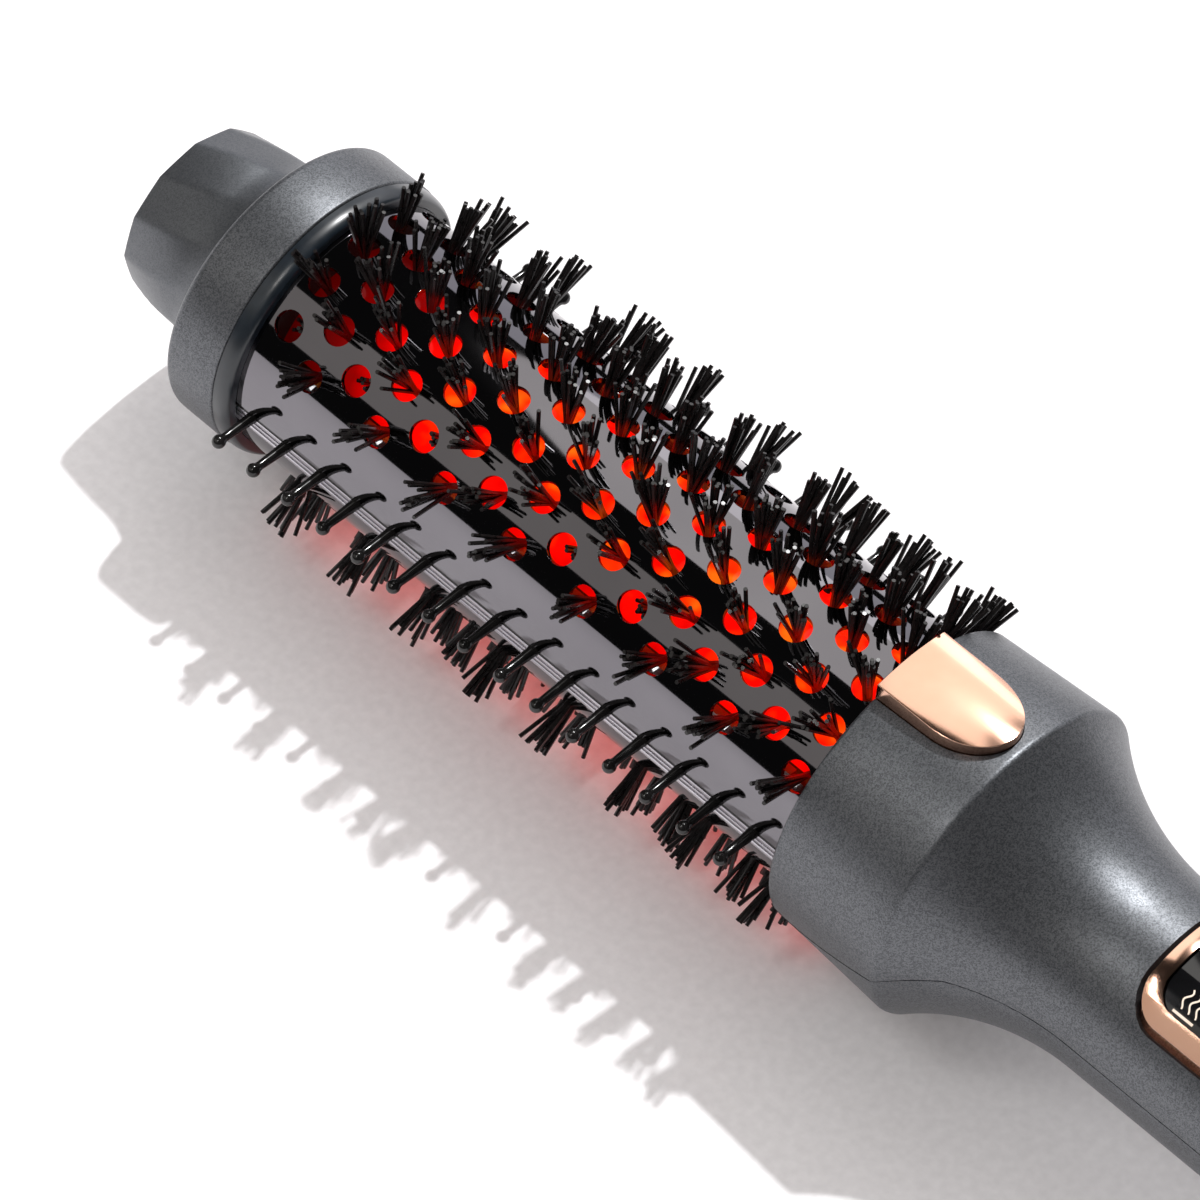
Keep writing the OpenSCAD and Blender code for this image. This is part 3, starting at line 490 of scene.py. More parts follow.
def buildTipCap():
    start, end = stationsOf("tip_cap")
    edge, dish, bore = tip["edge"], tip["dish"], tip["bore"]
    inner, lip = tip["dishRadius"], tip["lipRadius"]
    face = [(start + dish, 0), (start + dish, inner), (start + dish / 2, (inner + lip) / 2),
            (start, lip), (start, tipRadius(0) - 2 * edge)]
    corner = arcPoints((start + edge, tipRadius(0) - edge), edge, -90, 0, 5)
    side = []
    for k in range(1, tip["stations"] + 1):
        share = k / tip["stations"]
        side.append((start + edge + (end - start - edge) * share, tipRadius(share)))
    inside = [(end, bore), (tip["floor"], bore), (tip["floor"], 0)]
    bm = bmesh.new()
    spinProfile(bm, face + corner + side + inside, tip["steps"])
    step = 2 * pi / tip["facets"]
    for v in bm.verts:
        if hypot(v.co.x, v.co.y) < bore + 0.6:
            continue
        share = (v.co.z - start) / (end - start)
        angle = atan2(v.co.y, v.co.x) + radians(tip["twist"]) * share
        off = (angle % step - step / 2) * tip["ridgeShare"]
        flat = 1 - tip["depth"] * (1 - share ** 2) * (1 - cos(step / 2) / cos(off))
        v.co.x *= flat
        v.co.y *= flat
    finishPiece("tipCap", bm, "tip_plastic", ["tip_cap"], smooth=40)


def buildTipRing():
    start, end = stationsOf("tip_cap")[1], stationsOf("tip_ring")[1] + ring["reach"]
    floor, stem = start + ring["floor"], start - ring["stemReach"]
    outer, curve, edge = halfWidthOf("tip_ring"), ring["round"], ring["edge"]
    outline = [(start, ring["stemRadius"])]
    outline += arcPoints((start + curve, outer - curve), curve, -90, 0, 8)
    outline += arcPoints((end - edge, outer - edge), edge, 0, 90, 4)
    outline += [(end, outer - ring["wall"]), (floor, outer - ring["wall"]),
                (floor, ring["stemBore"]), (stem, ring["stemBore"]), (stem, ring["stemRadius"])]
    bm = bmesh.new()
    spinProfile(bm, outline, ring["steps"], closed=True)
    finishPiece("tipRing", bm, "graphite_paint", ["tip_ring"])


def buildTipRim():
    first, last = stationsOf("tip_rim")
    seat = stationsOf("tip_ring")[1] + ring["reach"] + ring["rimGap"]
    lip, step, inner = seat + ring["rimLip"], ring["rimStep"], ring["rimInner"]
    outer = halfWidthOf("tip_ring") - ring["rimInset"]
    outline = [(first, ring["rimBore"]), (first, outer - step), (seat, outer - step), (seat, outer)]
    for a in [radians(6 * k) for k in range(16)]:
        outline.append((lip + (last - lip) * sin(a), inner + (outer - inner) * cos(a)))
    outline.append((last, ring["rimBore"]))
    bm = bmesh.new()
    spinProfile(bm, outline, ring["steps"], closed=True)
    finishPiece("tipRim", bm, "dark_rim", ["tip_rim"])


buildTipCap()
buildTipRing()
buildTipRim()
print("cool tip made")


# Barrel: two vented shells in mirror black, wrapped from a flat sheet of six-sided cells

vents = {
    "radius": 2.15, "rows": 11, "rowAngle": 11.0, "firstAngle": 55.0, "perRow": 8, "pitch": 12.28,
    "firstStation": 31.4, "clearRows": (1, 9), "clearVents": (0, 1, 2, 4, 5),
}
lastRow = vents["rows"] - 1
barrel = {"radius": 19.0, "wall": 0.8, "upperEdge": 0.38, "lowerEdge": -2.9, "rimBevel": 0.09,
          "strip": 1.5}


def rowAngle(i):
    return vents["firstAngle"] - vents["rowAngle"] * i


def ventStation(i, j):
    return vents["firstStation"] + vents["pitch"] * (j + (0 if i % 2 else 0.5))


def hasVent(i, j):
    return 0 <= i < vents["rows"] and 0 <= j < vents["perRow"]


def hasTuft(i, j):
    return not (i in vents["clearRows"] and j in vents["clearVents"])


def addCell(bm, across, station, halfRow, halfPitch, vented):
    # one cell of the sheet, with its vent if it has one
    slope = (halfRow ** 2 + halfPitch ** 2) / 2
    shoulder, peak = (slope - halfRow ** 2) / halfPitch, slope / halfPitch
    corners = [(halfRow, shoulder), (0, peak), (-halfRow, shoulder), (-halfRow, -shoulder),
               (0, -peak), (halfRow, -shoulder)]
    verts = [bm.verts.new((across + x, station + y, 0)) for x, y in corners]
    edges = [bm.edges.new((verts[k], verts[(k + 1) % 6])) for k in range(6)]
    border = bmesh.ops.subdivide_edges(bm, edges=edges, cuts=3)
    rim = [e for e in border["geom"] if isinstance(e, bmesh.types.BMEdge)]
    rim = list({e for e in rim} | {e for e in edges if e.is_valid})
    if not vented:
        bmesh.ops.edgenet_fill(bm, edges=rim)
        return
    circle = bmesh.ops.create_circle(bm, segments=24, radius=vents["radius"],
                                     matrix=Matrix.Translation((across, station, 0)))
    hole = list({e for v in circle["verts"] for e in v.link_edges})
    bmesh.ops.bridge_loops(bm, edges=rim + hole)


def buildShell(name, node, edgeHeight, turn):
    start, end = stationsOf(node)
    radius = barrel["radius"]
    limit = acos(edgeHeight / radius) * radius
    bm = bmesh.new()
    halfRow = radians(vents["rowAngle"]) * radius
    for i in range(-4, vents["rows"] + 4):
        for j in range(-2, vents["perRow"] + 2):
            addCell(bm, radians(rowAngle(i)) * radius, ventStation(i, j), halfRow,
                    vents["pitch"] / 2, hasVent(i, j))
    bmesh.ops.remove_doubles(bm, verts=bm.verts[:], dist=0.01)
    for point, normal in (((limit, 0, 0), (1, 0, 0)), ((-limit, 0, 0), (-1, 0, 0)),
                          ((0, start, 0), (0, -1, 0)), ((0, end, 0), (0, 1, 0))):
        bmesh.ops.bisect_plane(bm, geom=bm.verts[:] + bm.edges[:] + bm.faces[:], dist=0.0005,
                               plane_co=point, plane_no=normal, clear_outer=True)
    sliceFlat(bm, radians(barrel["strip"]) * radius, limit, (1, 0, 0), 0.002)
    for v in bm.verts:
        angle = v.co.x / radius + radians(turn)
        v.co = (radius * cos(angle), radius * sin(angle), v.co.y)
    fixNormals(bm)
    faceOutwards(bm)
    bmesh.ops.solidify(bm, geom=bm.faces[:], thickness=barrel["wall"])
    bevelSharp(bm, barrel["rimBevel"], 2, degrees=60,
               test=lambda e: all(v.co.xy.length > radius - 0.05 for v in e.verts))
    piece = finishPiece(name, bm, "barrel_coating", [node])
    smoothOutside(piece, radius * mm)


def smoothOutside(piece, radius):
    # true round normals on the outer face, so that the mirror finish shows no strips
    mesh = piece.data
    normals = [Vector(n.vector) for n in mesh.corner_normals]
    for face in mesh.polygons:
        away = Vector((0, face.center.y, face.center.z - axisZ)).normalized()
        if away.dot(face.normal) < 0.995:
            continue
        for k in face.loop_indices:
            point = mesh.vertices[mesh.loops[k].vertex_index].co
            spoke = Vector((0, point.y, point.z - axisZ))
            if spoke.length > radius - 0.02 * mm:
                normals[k] = spoke.normalized()
    mesh.normals_split_custom_set(normals)


buildShell("barrelUpperShell", "barrel_upper_shell", barrel["upperEdge"], 0)
buildShell("barrelLowerShell", "barrel_lower_shell", -barrel["lowerEdge"], 180)
print("barrel shells made")


# Side rails in satin metal and the ball-pointed pins that stand in the slots above them

rail = {"top": -0.38, "low": -2.85, "inner": 13.2, "proud": 0.1, "grooves": (0.34, 0.67),
        "groove": 0.16, "bevel": 0.05}
pins = {
    "count": 15, "first": 31.3, "pitch": 6.4, "sunk": 0.4, "reach": 6.0, "ballRadius": 0.95,
    "profile": ((0, 0), (0, 0.765), (0.5, 0.85), (1.0, 0.7905), (2.2, 0.73), (4.0, 0.65)),
    "neckRadius": 0.6, "neckLength": 1.1, "ballAngles": (44, 62, 80, 98, 116, 134, 152, 168),
    "spineHalf": 0.36, "spineInset": 0.22, "baseHalf": 1.3, "baseDrop": 0.1, "baseDepth": 1.2,
}


def buildRail(name, node, side):
    start, end = stationsOf(node)
    low, top, depth = rail["low"], rail["top"], rail["groove"]
    face = sqrt(barrel["radius"] ** 2 - low ** 2) + rail["proud"]
    outline = [(low, rail["inner"]), (top, rail["inner"]), (top, face)]
    for share in reversed(rail["grooves"]):
        centre = low + (top - low) * share
        outline += [(centre + depth, face), (centre + depth, face - depth),
                    (centre - depth, face - depth), (centre - depth, face)]
    outline.append((low, face))
    bm = bmesh.new()
    bottom = bm.faces.new([bm.verts.new((x, y * side, start)) for x, y in outline])
    pushFace(bm, bottom, (0, 0, end - start))
    bevelSharp(bm, rail["bevel"], 2, test=lambda e: min(abs(v.co.y) for v in e.verts) > face - 0.3)
    finishPiece(name, bm, "rail_metal", [node])


def buildPins(name, node, side):
    start, end = stationsOf(node)
    half, base, inner = pins["spineHalf"], pins["baseHalf"], rail["inner"]
    bm = bmesh.new()
    for low, high in (((-half, inner), (half, barrel["radius"] - pins["spineInset"])),
                      ((-base, inner - pins["baseDrop"]), (base, inner + pins["baseDepth"]))):
        middle = Vector(((low[0] + high[0]) / 2, side * (low[1] + high[1]) / 2, (start + end) / 2))
        size = Matrix.Diagonal((high[0] - low[0], high[1] - low[1], end - start, 1))
        bmesh.ops.create_cube(bm, size=1, matrix=Matrix.Translation(middle) @ size)
    for k in range(pins["count"]):
        addPin(bm, pins["first"] + k * pins["pitch"], side)
    fixNormals(bm)
    finishPiece(name, bm, "pin_plastic", [node], smooth=50)


def addPin(bm, station, side):
    # a tapered pin that swells into a ball
    foot, centre = barrel["radius"] - pins["sunk"], barrel["radius"] + pins["reach"]
    ball = pins["ballRadius"]
    outline = [(foot + height, radius) for height, radius in pins["profile"]]
    outline.append((centre - pins["neckLength"], pins["neckRadius"]))
    for a in [radians(angle) for angle in pins["ballAngles"]]:
        outline.append((centre - ball * cos(a), ball * sin(a)))
    part = bmesh.new()
    spinProfile(part, outline + [(centre + ball, 0)], 20)
    turn = Matrix.Rotation(radians(-90 * side), 4, "X")
    place = Matrix.Translation((0, 0, station)) @ turn
    bmesh.ops.transform(part, matrix=place, verts=part.verts[:])
    mergeInto(bm, part)


for sideName, side in (("Left", 1), ("Right", -1)):
    buildRail("sideRail" + sideName, "side_rail_" + sideName.lower(), side)
    buildPins("pinStrip" + sideName, "pin_strip_" + sideName.lower(), side)
print("rails and pins made")


# Bristle tufts, each a fan of straight-cut strands rooted in a carrier with a painted red glow

tuft = {
    "strands": 13, "strandRadius": 0.3, "rootRadius": 12.9, "rootSpread": 0.75, "tipSpread": 2.3,
    "tipRadius": 25.9, "unevenness": 1.5, "lean": 0.8, "narrow": 0.55, "stray": 0.4, "seed": 11,
    "stubRadius": 16.4, "stubStrands": 8, "stubRoot": 0.5, "stubSpread": 1.1,
}
carrier = {"inner": 11.2, "outer": 13.0, "margin": 7.0, "gap": 0.15, "steps": 24}


def addStrand(bm, root, end, radius):
    run = end - root
    turn = run.to_track_quat("Z", "X").to_matrix().to_4x4()
    bmesh.ops.create_cone(bm, cap_ends=True, cap_tris=False, segments=6, radius1=radius * 1.05,
                          radius2=radius * 0.95, depth=run.length,
                          matrix=Matrix.Translation((root + end) / 2) @ turn)


def addTuft(bm, angle, station, draw, stub):
    # strands start close together at the carrier, cross in the vent and fan out above it
    a = radians(angle)
    out, across = Vector((cos(a), sin(a), 0)), Vector((-sin(a), cos(a), 0))
    along, floor = Vector((0, 0, 1)), -axisZ / mm

    def either(most):
        return draw.uniform(-most, most)
    slant = draw.uniform(0, pi)
    lean = either(tuft["lean"]) * across + either(tuft["lean"]) * along
    for k in range(tuft["stubStrands"] if stub else tuft["strands"]):
        spot = Vector((either(1), either(tuft["narrow"])))
        spot.rotate(Matrix.Rotation(slant, 2))
        tipSpot = spot * draw.uniform(0.5, 1.3)
        tipSpot += Vector((either(tuft["stray"]), either(tuft["stray"])))
        rootSpot = -spot * tuft["rootSpread"]
        reach = tuft["tipRadius"] + draw.uniform(-1, 0.35) * tuft["unevenness"]
        spread = tuft["tipSpread"]
        if stub:
            reach = tuft["stubRadius"] + draw.uniform(-0.7, 0.5)
            spread, rootSpot = tuft["stubSpread"], spot * tuft["stubRoot"]
        root = out * tuft["rootRadius"] + rootSpot.x * across + rootSpot.y * along
        end = out * reach + (tipSpot.x * across + tipSpot.y * along) * spread
        if not stub:
            end += lean
        end.x = max(end.x, floor)
        shift = Vector((0, 0, station))
        addStrand(bm, root + shift, end + shift, tuft["strandRadius"])


def buildBristles(name, node, turn, first, last):
    start, end = stationsOf(node)
    between = vents["rowAngle"] / 2 - carrier["gap"]
    high = rowAngle(first) + (carrier["margin"] if first == 0 else between)
    low = rowAngle(last) - (carrier["margin"] if last == lastRow else between)
    inner, outer, turnLow = carrier["inner"], carrier["outer"], radians(low + turn)
    corners = ((inner, start), (outer, start), (outer, end), (inner, end))
    bm = bmesh.new()
    face = bm.faces.new([bm.verts.new((radius * cos(turnLow), radius * sin(turnLow), station))
                         for radius, station in corners])
    bmesh.ops.spin(bm, geom=[face], cent=(0, 0, 0), axis=(0, 0, 1), dvec=(0, 0, 0),
                   angle=radians(high - low), steps=carrier["steps"], use_merge=False)
    fixNormals(bm)
    carrierFaces = len(bm.faces)
    draw = random.Random(tuft["seed"] + first + turn)
    for i in range(first, last + 1):
        for j in range(vents["perRow"]):
            addTuft(bm, rowAngle(i) + turn, ventStation(i, j), draw, stub=not hasTuft(i, j))
    # carrier faces take the painted red glow, strands the black nylon
    for k, face in enumerate(bm.faces):
        face.material_index = 0 if k < carrierFaces else 1
    finishPiece(name, bm, "bristle_nylon", [node], smooth=40,
                materials=[carrierPaintedGlow, finishes["bristle_nylon"]])


slices = ((0, 3), (4, lastRow - 4), (lastRow - 3, lastRow))
for half, turn, order in (("upper", 0, ("left", "middle", "right")),
                          ("lower", 180, ("right", "middle", "left"))):
    for (first, last), part in zip(slices, order):
        buildBristles("bristles" + half.title() + part.title(), f"bristles_{half}_{part}",
                      turn, first, last)
print("bristles made")


# Handle: two painted shells that meet at a fine parting line

handle = {
    "frontRadius": 22.2, "ridgeRadius": 23.3, "ridge": 145.2, "grip": 168.7, "gripRadius": 14.1,
    "neckArc": 34.6, "frontRound": 0.5, "tailRound": 5.0, "ridgeBevel": 0.45, "wall": 2.2,
    "frontBore": 19.3, "tailBore": 6.6, "steps": 200, "coneSteps": 6, "neckSteps": 40,
    "gripSteps": 48, "dropFront": -11.0, "dropRidge": -2.4, "seamLevel": 152.2, "seamGap": 0.18,
}
hood = {"half": 6.0, "round": 8.4, "topRadius": 24.7, "lowRadius": 20.6, "wall": 1.6, "slip": 0.12,
        "edge": 0.3, "mouthHalf": 4.2, "mouthDepth": 9, "mouthFloor": 18}
panel = {"half": 11.2, "start": 172.9, "end": 234.9, "round": 5.0}
screws = {"stations": (160.0, 239.9, 286.3), "headRadius": 2.4, "clearance": 0.25}


def handleOutline():
    start, end = stationsOf("handle_upper_shell")
    front, grip, arc = handle["frontRadius"], handle["gripRadius"], handle["neckArc"]
    lip, tail = handle["frontRound"], handle["tailRound"]
    points = [(start, handle["frontBore"])]
    points += arcPoints((start + lip, front - lip), lip, -90, 0, 5)
    for k in range(1, handle["coneSteps"]):
        share = k / handle["coneSteps"]
        points.append((start + lip + (handle["ridge"] - 0.7 - start) * share,
                       front + (handle["ridgeRadius"] - front) * share))
    sweep = asin((handle["grip"] - handle["ridge"]) / arc)
    for k in range(handle["neckSteps"] + 1):
        a = sweep * (1 - k / handle["neckSteps"])
        points.append((handle["grip"] - arc * sin(a), grip + arc - arc * cos(a)))
    for k in range(1, handle["gripSteps"]):
        share = k / handle["gripSteps"]
        points.append((handle["grip"] + (end - tail - handle["grip"]) * share, grip))
    points += arcPoints((end - tail, grip - tail), tail, 0, 90, 12)
    return points + [(end, handle["tailBore"])]


def seamHeight(station):
    start = stationsOf("handle_upper_shell")[0]
    front, drop = handle["dropFront"], handle["dropRidge"]
    ridge, level = handle["ridge"] + 1, handle["seamLevel"]
    if station < ridge:
        return front + (drop - front) * (station - start) / (ridge - start)
    return min(0, drop * (level - station) / (level - ridge))


def buildHandleShell(name, node, upper):
    start, end = stationsOf("handle_upper_shell")
    ridge, wall = handle["ridge"], handle["wall"]
    bm = bmesh.new()
    spinProfile(bm, handleOutline(), handle["steps"])
    faceOutwards(bm)
    bevelSharp(bm, handle["ridgeBevel"], 3, degrees=20,
               test=lambda e: abs(sum(v.co.z for v in e.verts) / 2 - ridge) < 0.3)
    marks = [(start - 1, handle["dropFront"]), (start, handle["dropFront"]),
             (ridge + 1, handle["dropRidge"]), (handle["seamLevel"], 0), (end + 1, 0)]
    for (s0, h0), (s1, h1) in zip(marks, marks[1:]):
        band = [f for f in bm.faces if s0 - 2 < f.calc_center_median().z < s1 + 2]
        bmesh.ops.bisect_plane(bm, geom=geomOf(band), dist=0.0005, plane_co=(h0, 0, s0),
                               plane_no=(s1 - s0, 0, h0 - h1))
    wrong = [f for f in bm.faces
             if (f.calc_center_median().x > seamHeight(f.calc_center_median().z)) != upper]
    bmesh.ops.delete(bm, geom=wrong, context="FACES")
    for v in bm.verts:
        if v.is_boundary and abs(v.co.x - seamHeight(v.co.z)) < 0.02:
            v.co.x += handle["seamGap"] / (2 if upper else -2)
    if upper:
        openPlan(bm, roundedPlan(panel["half"], panel["start"], panel["end"], panel["round"], 6), 1)
        openPlan(bm, hoodPlan(hood["half"] + hood["slip"], -3, hood["slip"]), 1)
    else:
        for station in screws["stations"]:
            openPlan(bm, circlePlan(0, station, screws["headRadius"] + screws["clearance"], 24), -1)
    for v in newVerts(bmesh.ops.extrude_face_region(bm, geom=bm.faces[:], use_keep_orig=True)):
        bore = handle["frontBore"] if v.co.z < ridge else handle["tailBore"]
        v.co.xy *= max(bore, v.co.xy.length - wall) / v.co.xy.length
        v.co.z = min(max(v.co.z, start + wall), end - wall)
    fixNormals(bm)
    finishPiece(name, bm, "graphite_paint", [node], smooth=30)


def openPlan(bm, plan, side):
    # cuts a rounded (side, station) plan out of a skin, on its upper (1) or lower (-1) side
    wide = max(abs(y) for y, s in plan) + 1.5
    first, last = min(s for y, s in plan) - 1.5, max(s for y, s in plan) + 1.5
    region = []
    for face in bm.faces:
        centre = face.calc_center_median()
        if centre.x * side > 4 and abs(centre.y) < wide and first < centre.z < last:
            region.append(face)
    sides = list(zip(plan, plan[1:] + plan[:1]))
    for (y0, s0), (y1, s1) in sides:
        cut = bmesh.ops.bisect_plane(bm, geom=geomOf(region), dist=0.0005, plane_co=(0, y0, s0),
                                     plane_no=Vector((0, s1 - s0, y0 - y1)).normalized())
        region = [g for g in cut["geom"] if isinstance(g, bmesh.types.BMFace)]
    turn = 1 if sum((b[0] - a[0]) * (b[1] + a[1]) for a, b in sides) < 0 else -1
    inside = []
    for face in region:
        y, s = face.calc_center_median().yz
        if all(turn * ((b[0] - a[0]) * (s - a[1]) - (b[1] - a[1]) * (y - a[0])) > 0
               for a, b in sides):
            inside.append(face)
    bmesh.ops.delete(bm, geom=inside, context="FACES")


def hoodPlan(half, before=0, grow=0):
    start, end = stationsOf("ion_hood")
    start, end, reach = start + before, end + grow, hood["round"]
    points = [(-half, start), (half, start)]
    return points + [(half * cos(radians(a)), end - reach + reach * sin(radians(a)))
                     for a in range(0, 181, 5)]


buildHandleShell("handleUpperShell", "handle_upper_shell", True)
buildHandleShell("handleLowerShell", "handle_lower_shell", False)
print("handle shells made")


# Ion outlet hood in mirror rose gold, open towards the barrel

def buildHood():
    start, top, half = stationsOf("ion_hood")[0], hood["topRadius"], hood["mouthHalf"]
    bm = curvedPlate([hoodPlan(hood["half"])], top, hood["lowRadius"], strip=0.5)
    bevelTop(bm, hood["edge"], top)
    piece = finishPiece("ionHood", bm, "rose_gold", ["ion_hood"])
    back = start + hood["mouthDepth"]
    mouth = [(-half, start - 1), (half, start - 1), (half, back), (-half, back)]
    cutWith(piece, prism(mouth, hood["mouthFloor"], top - hood["wall"]))
    piece.data.set_sharp_from_angle(angle=radians(35))


buildHood()


# Panel: rose gold bezel, black gloss lens with plain marks, and three buttons

bezel = {"half": 10.5, "width": 2.0, "shadow": 0.7, "topRadius": 14.4, "lowRadius": 12.0,
         "edge": 0.35}
lens = {"half": 8.35, "gap": 0.15, "topRadius": 13.8, "lowRadius": 11.9, "holeRadius": 4.0}
button = {"radius": 3.7, "topRadius": 14.3, "skirtHeight": 10.2, "lowHeight": 9.2, "flange": 4.4,
          "stem": 1.5, "stemLow": 7.2, "edge": 0.3}
buttonStations = {"minus": 204.9, "plus": 214.9, "power": 224.9}
mark = {"lift": 0.045, "line": 0.27, "wave": 0.28, "keyLine": 0.42, "keyHalf": 1.5, "keyGap": 0.22,
        "lamp": (-5.6, 180), "heat": (7.7, 178.4, 181.6), "digits": 184.2, "digitPitch": 4.4}


def buildBezel():
    start, end = panel["start"] + bezel["shadow"], panel["end"] - bezel["shadow"]
    outer = roundedPlan(bezel["half"], start, end, panel["round"] - bezel["shadow"])
    inner = roundedPlan(bezel["half"] - bezel["width"], start + bezel["width"], end - bezel["width"],
                        panel["round"] - bezel["shadow"] - bezel["width"] / 2)
    bm = curvedPlate([outer, inner], bezel["topRadius"], bezel["lowRadius"])
    bevelTop(bm, bezel["edge"], bezel["topRadius"])
    finishPiece("panelBezel", bm, "rose_gold", ["panel_bezel"])


def buildLens():
    inset = bezel["shadow"] + bezel["width"] + lens["gap"]
    plan = roundedPlan(lens["half"], panel["start"] + inset, panel["end"] - inset,
                       panel["round"] - inset / 2)
    holes = [circlePlan(0, station, lens["holeRadius"]) for station in buttonStations.values()]
    bm = curvedPlate([plan] + holes, lens["topRadius"], lens["lowRadius"])
    finishPiece("panelLens", bm, "panel_black", ["panel_lens"])


def buildButton(key, slot):
    station, radius, low = buttonStations[key], button["radius"], button["lowHeight"]
    bm = curvedPlate([circlePlan(0, station, radius, 56)], button["topRadius"],
                     button["skirtHeight"], strip=0.4)
    bevelTop(bm, button["edge"], button["topRadius"])
    for width, base, top in ((radius - 0.02, low + 0.3, button["skirtHeight"] + 0.7),
                             (button["flange"], low, low + 0.6),
                             (button["stem"], button["stemLow"], low + 0.2)):
        place = Matrix.Translation(((base + top) / 2, 0, station)) @ Matrix.Rotation(pi / 2, 4, "Y")
        bmesh.ops.create_cone(bm, cap_ends=True, segments=48, radius1=width, radius2=width,
                              depth=top - base, matrix=place)
    finishPiece(key + "Button", bm, slot, [key + "_button"], key + "_key")


def stroke(points, width):
    # the outline of a line of that width through the points
    left, right = [], []
    for k, point in enumerate(points):
        before, after = Vector(points[max(0, k - 1)]), Vector(points[min(len(points) - 1, k + 1)])
        across = Vector((-(after - before).y, (after - before).x)).normalized() * width / 2
        left.append(tuple(Vector(point) + across))
        right.append(tuple(Vector(point) - across))
    return left + right[::-1]


def waveLine(station, side, length):
    # a wavy line that runs across the brush
    return [(side + length * k / 16, station + mark["wave"] * sin(2.5 * pi * k / 16))
            for k in range(17)]


def arcLine(side, station, radius, start, end, count=24):
    angles = [radians(start + (end - start) * k / count) for k in range(count + 1)]
    return [(side + radius * cos(a), station + radius * sin(a)) for a in angles]


def rayLine(side, station, angle, near, far):
    across, along = cos(radians(angle)), sin(radians(angle))
    return [(side + near * across, station + near * along),
            (side + far * across, station + far * along)]


def digitStrokes(digit, side, station, width, height):
    # a number of plain bars, read with the tip to the left
    bars = {"0": "abcdef", "1": "bc", "8": "abcdefg"}[digit]
    half = height / 2
    places = {
        "a": ((side + half, station), (side + half, station + width)),
        "b": ((side + half, station + width), (side, station + width)),
        "c": ((side, station + width), (side - half, station + width)),
        "d": ((side - half, station), (side - half, station + width)),
        "e": ((side, station), (side - half, station)),
        "f": ((side + half, station), (side, station)),
        "g": ((side, station), (side, station + width)),
    }
    strokes = []
    for bar in bars:
        a, b = (Vector(p) for p in places[bar])
        trim = (b - a).normalized() * 0.32
        strokes.append(stroke([tuple(a + trim), tuple(b - trim)], 0.5))
    return strokes


def buildMarks(name, plans, radius, body, slot, material):
    bm = bmesh.new()
    for plan in plans:
        mergeInto(bm, curvedPlate([plan], radius + mark["lift"], radius - 0.05))
    finishPiece(name, bm, slot, body=body, materials=[material])


def buildPanelMarks():
    line, thick, half, gap = mark["line"], mark["keyLine"], mark["keyHalf"], mark["keyGap"]
    side, first, last = mark["heat"]
    plans = [stroke([(side, first), (side, last)], line)]
    plans += [stroke(waveLine(first + 0.5 + 1.1 * k, side - 3.1, 2.5), line * 0.8) for k in range(3)]
    plans.append(stroke(arcLine(*mark["lamp"], 1.3, 0, 350), line))
    plans += [stroke(rayLine(*mark["lamp"], a, 1.9, 2.4), line * 0.8) for a in range(0, 360, 60)]
    for k, digit in enumerate("180"):
        plans += digitStrokes(digit, 0, mark["digits"] + mark["digitPitch"] * k, 2.7, 5.4)
    # the marks are pale print with a faint painted glow
    buildMarks("panelMarks", plans, lens["topRadius"], "body", "panel_black", palePrintPaintedGlow)
    minus, plus, power = (buttonStations[key] for key in ("minus", "plus", "power"))
    top = button["topRadius"]
    buildMarks("plusMark", [stroke([(-half, plus), (half, plus)], thick),
                            stroke([(0, plus - half), (0, plus - gap)], thick),
                            stroke([(0, plus + gap), (0, plus + half)], thick)],
               top, "plus_key", "button_black", palePrintPaintedGlow)
    buildMarks("minusMark", [stroke([(0, minus - half), (0, minus + half)], thick)],
               top, "minus_key", "button_black", palePrintPaintedGlow)
    buildMarks("powerMark", [stroke(arcLine(0, power, 1.6, 40, 320), 0.4),
                             stroke([(0.5, power), (2.0, power)], 0.4)],
               top, "power_key", "rose_gold", finishes["button_black"])


buildBezel()
buildLens()
for key, slot in (("minus", "button_black"), ("plus", "button_black"), ("power", "rose_gold")):
    buildButton(key, slot)
buildPanelMarks()
print("hood, panel and buttons made")


# Swivelling cord gland with its ribs

gland = {"flangeRadius": 7.9, "flangeWidth": 3.2, "neckRadius": 6.2, "rootRadius": 7.6,
         "mouthRadius": 5.0, "stepIn": 0.4, "wallOut": 0.2, "bore": 3.4, "boreDepth": 14.0,
         "leadBore": 2.2, "gap": 0.5, "grooves": 3, "groovePitch": 2.2, "grooveStart": 3.2,
         "grooveWidth": 1.0, "grooveDepth": 0.9, "grooveSlope": 0.12}


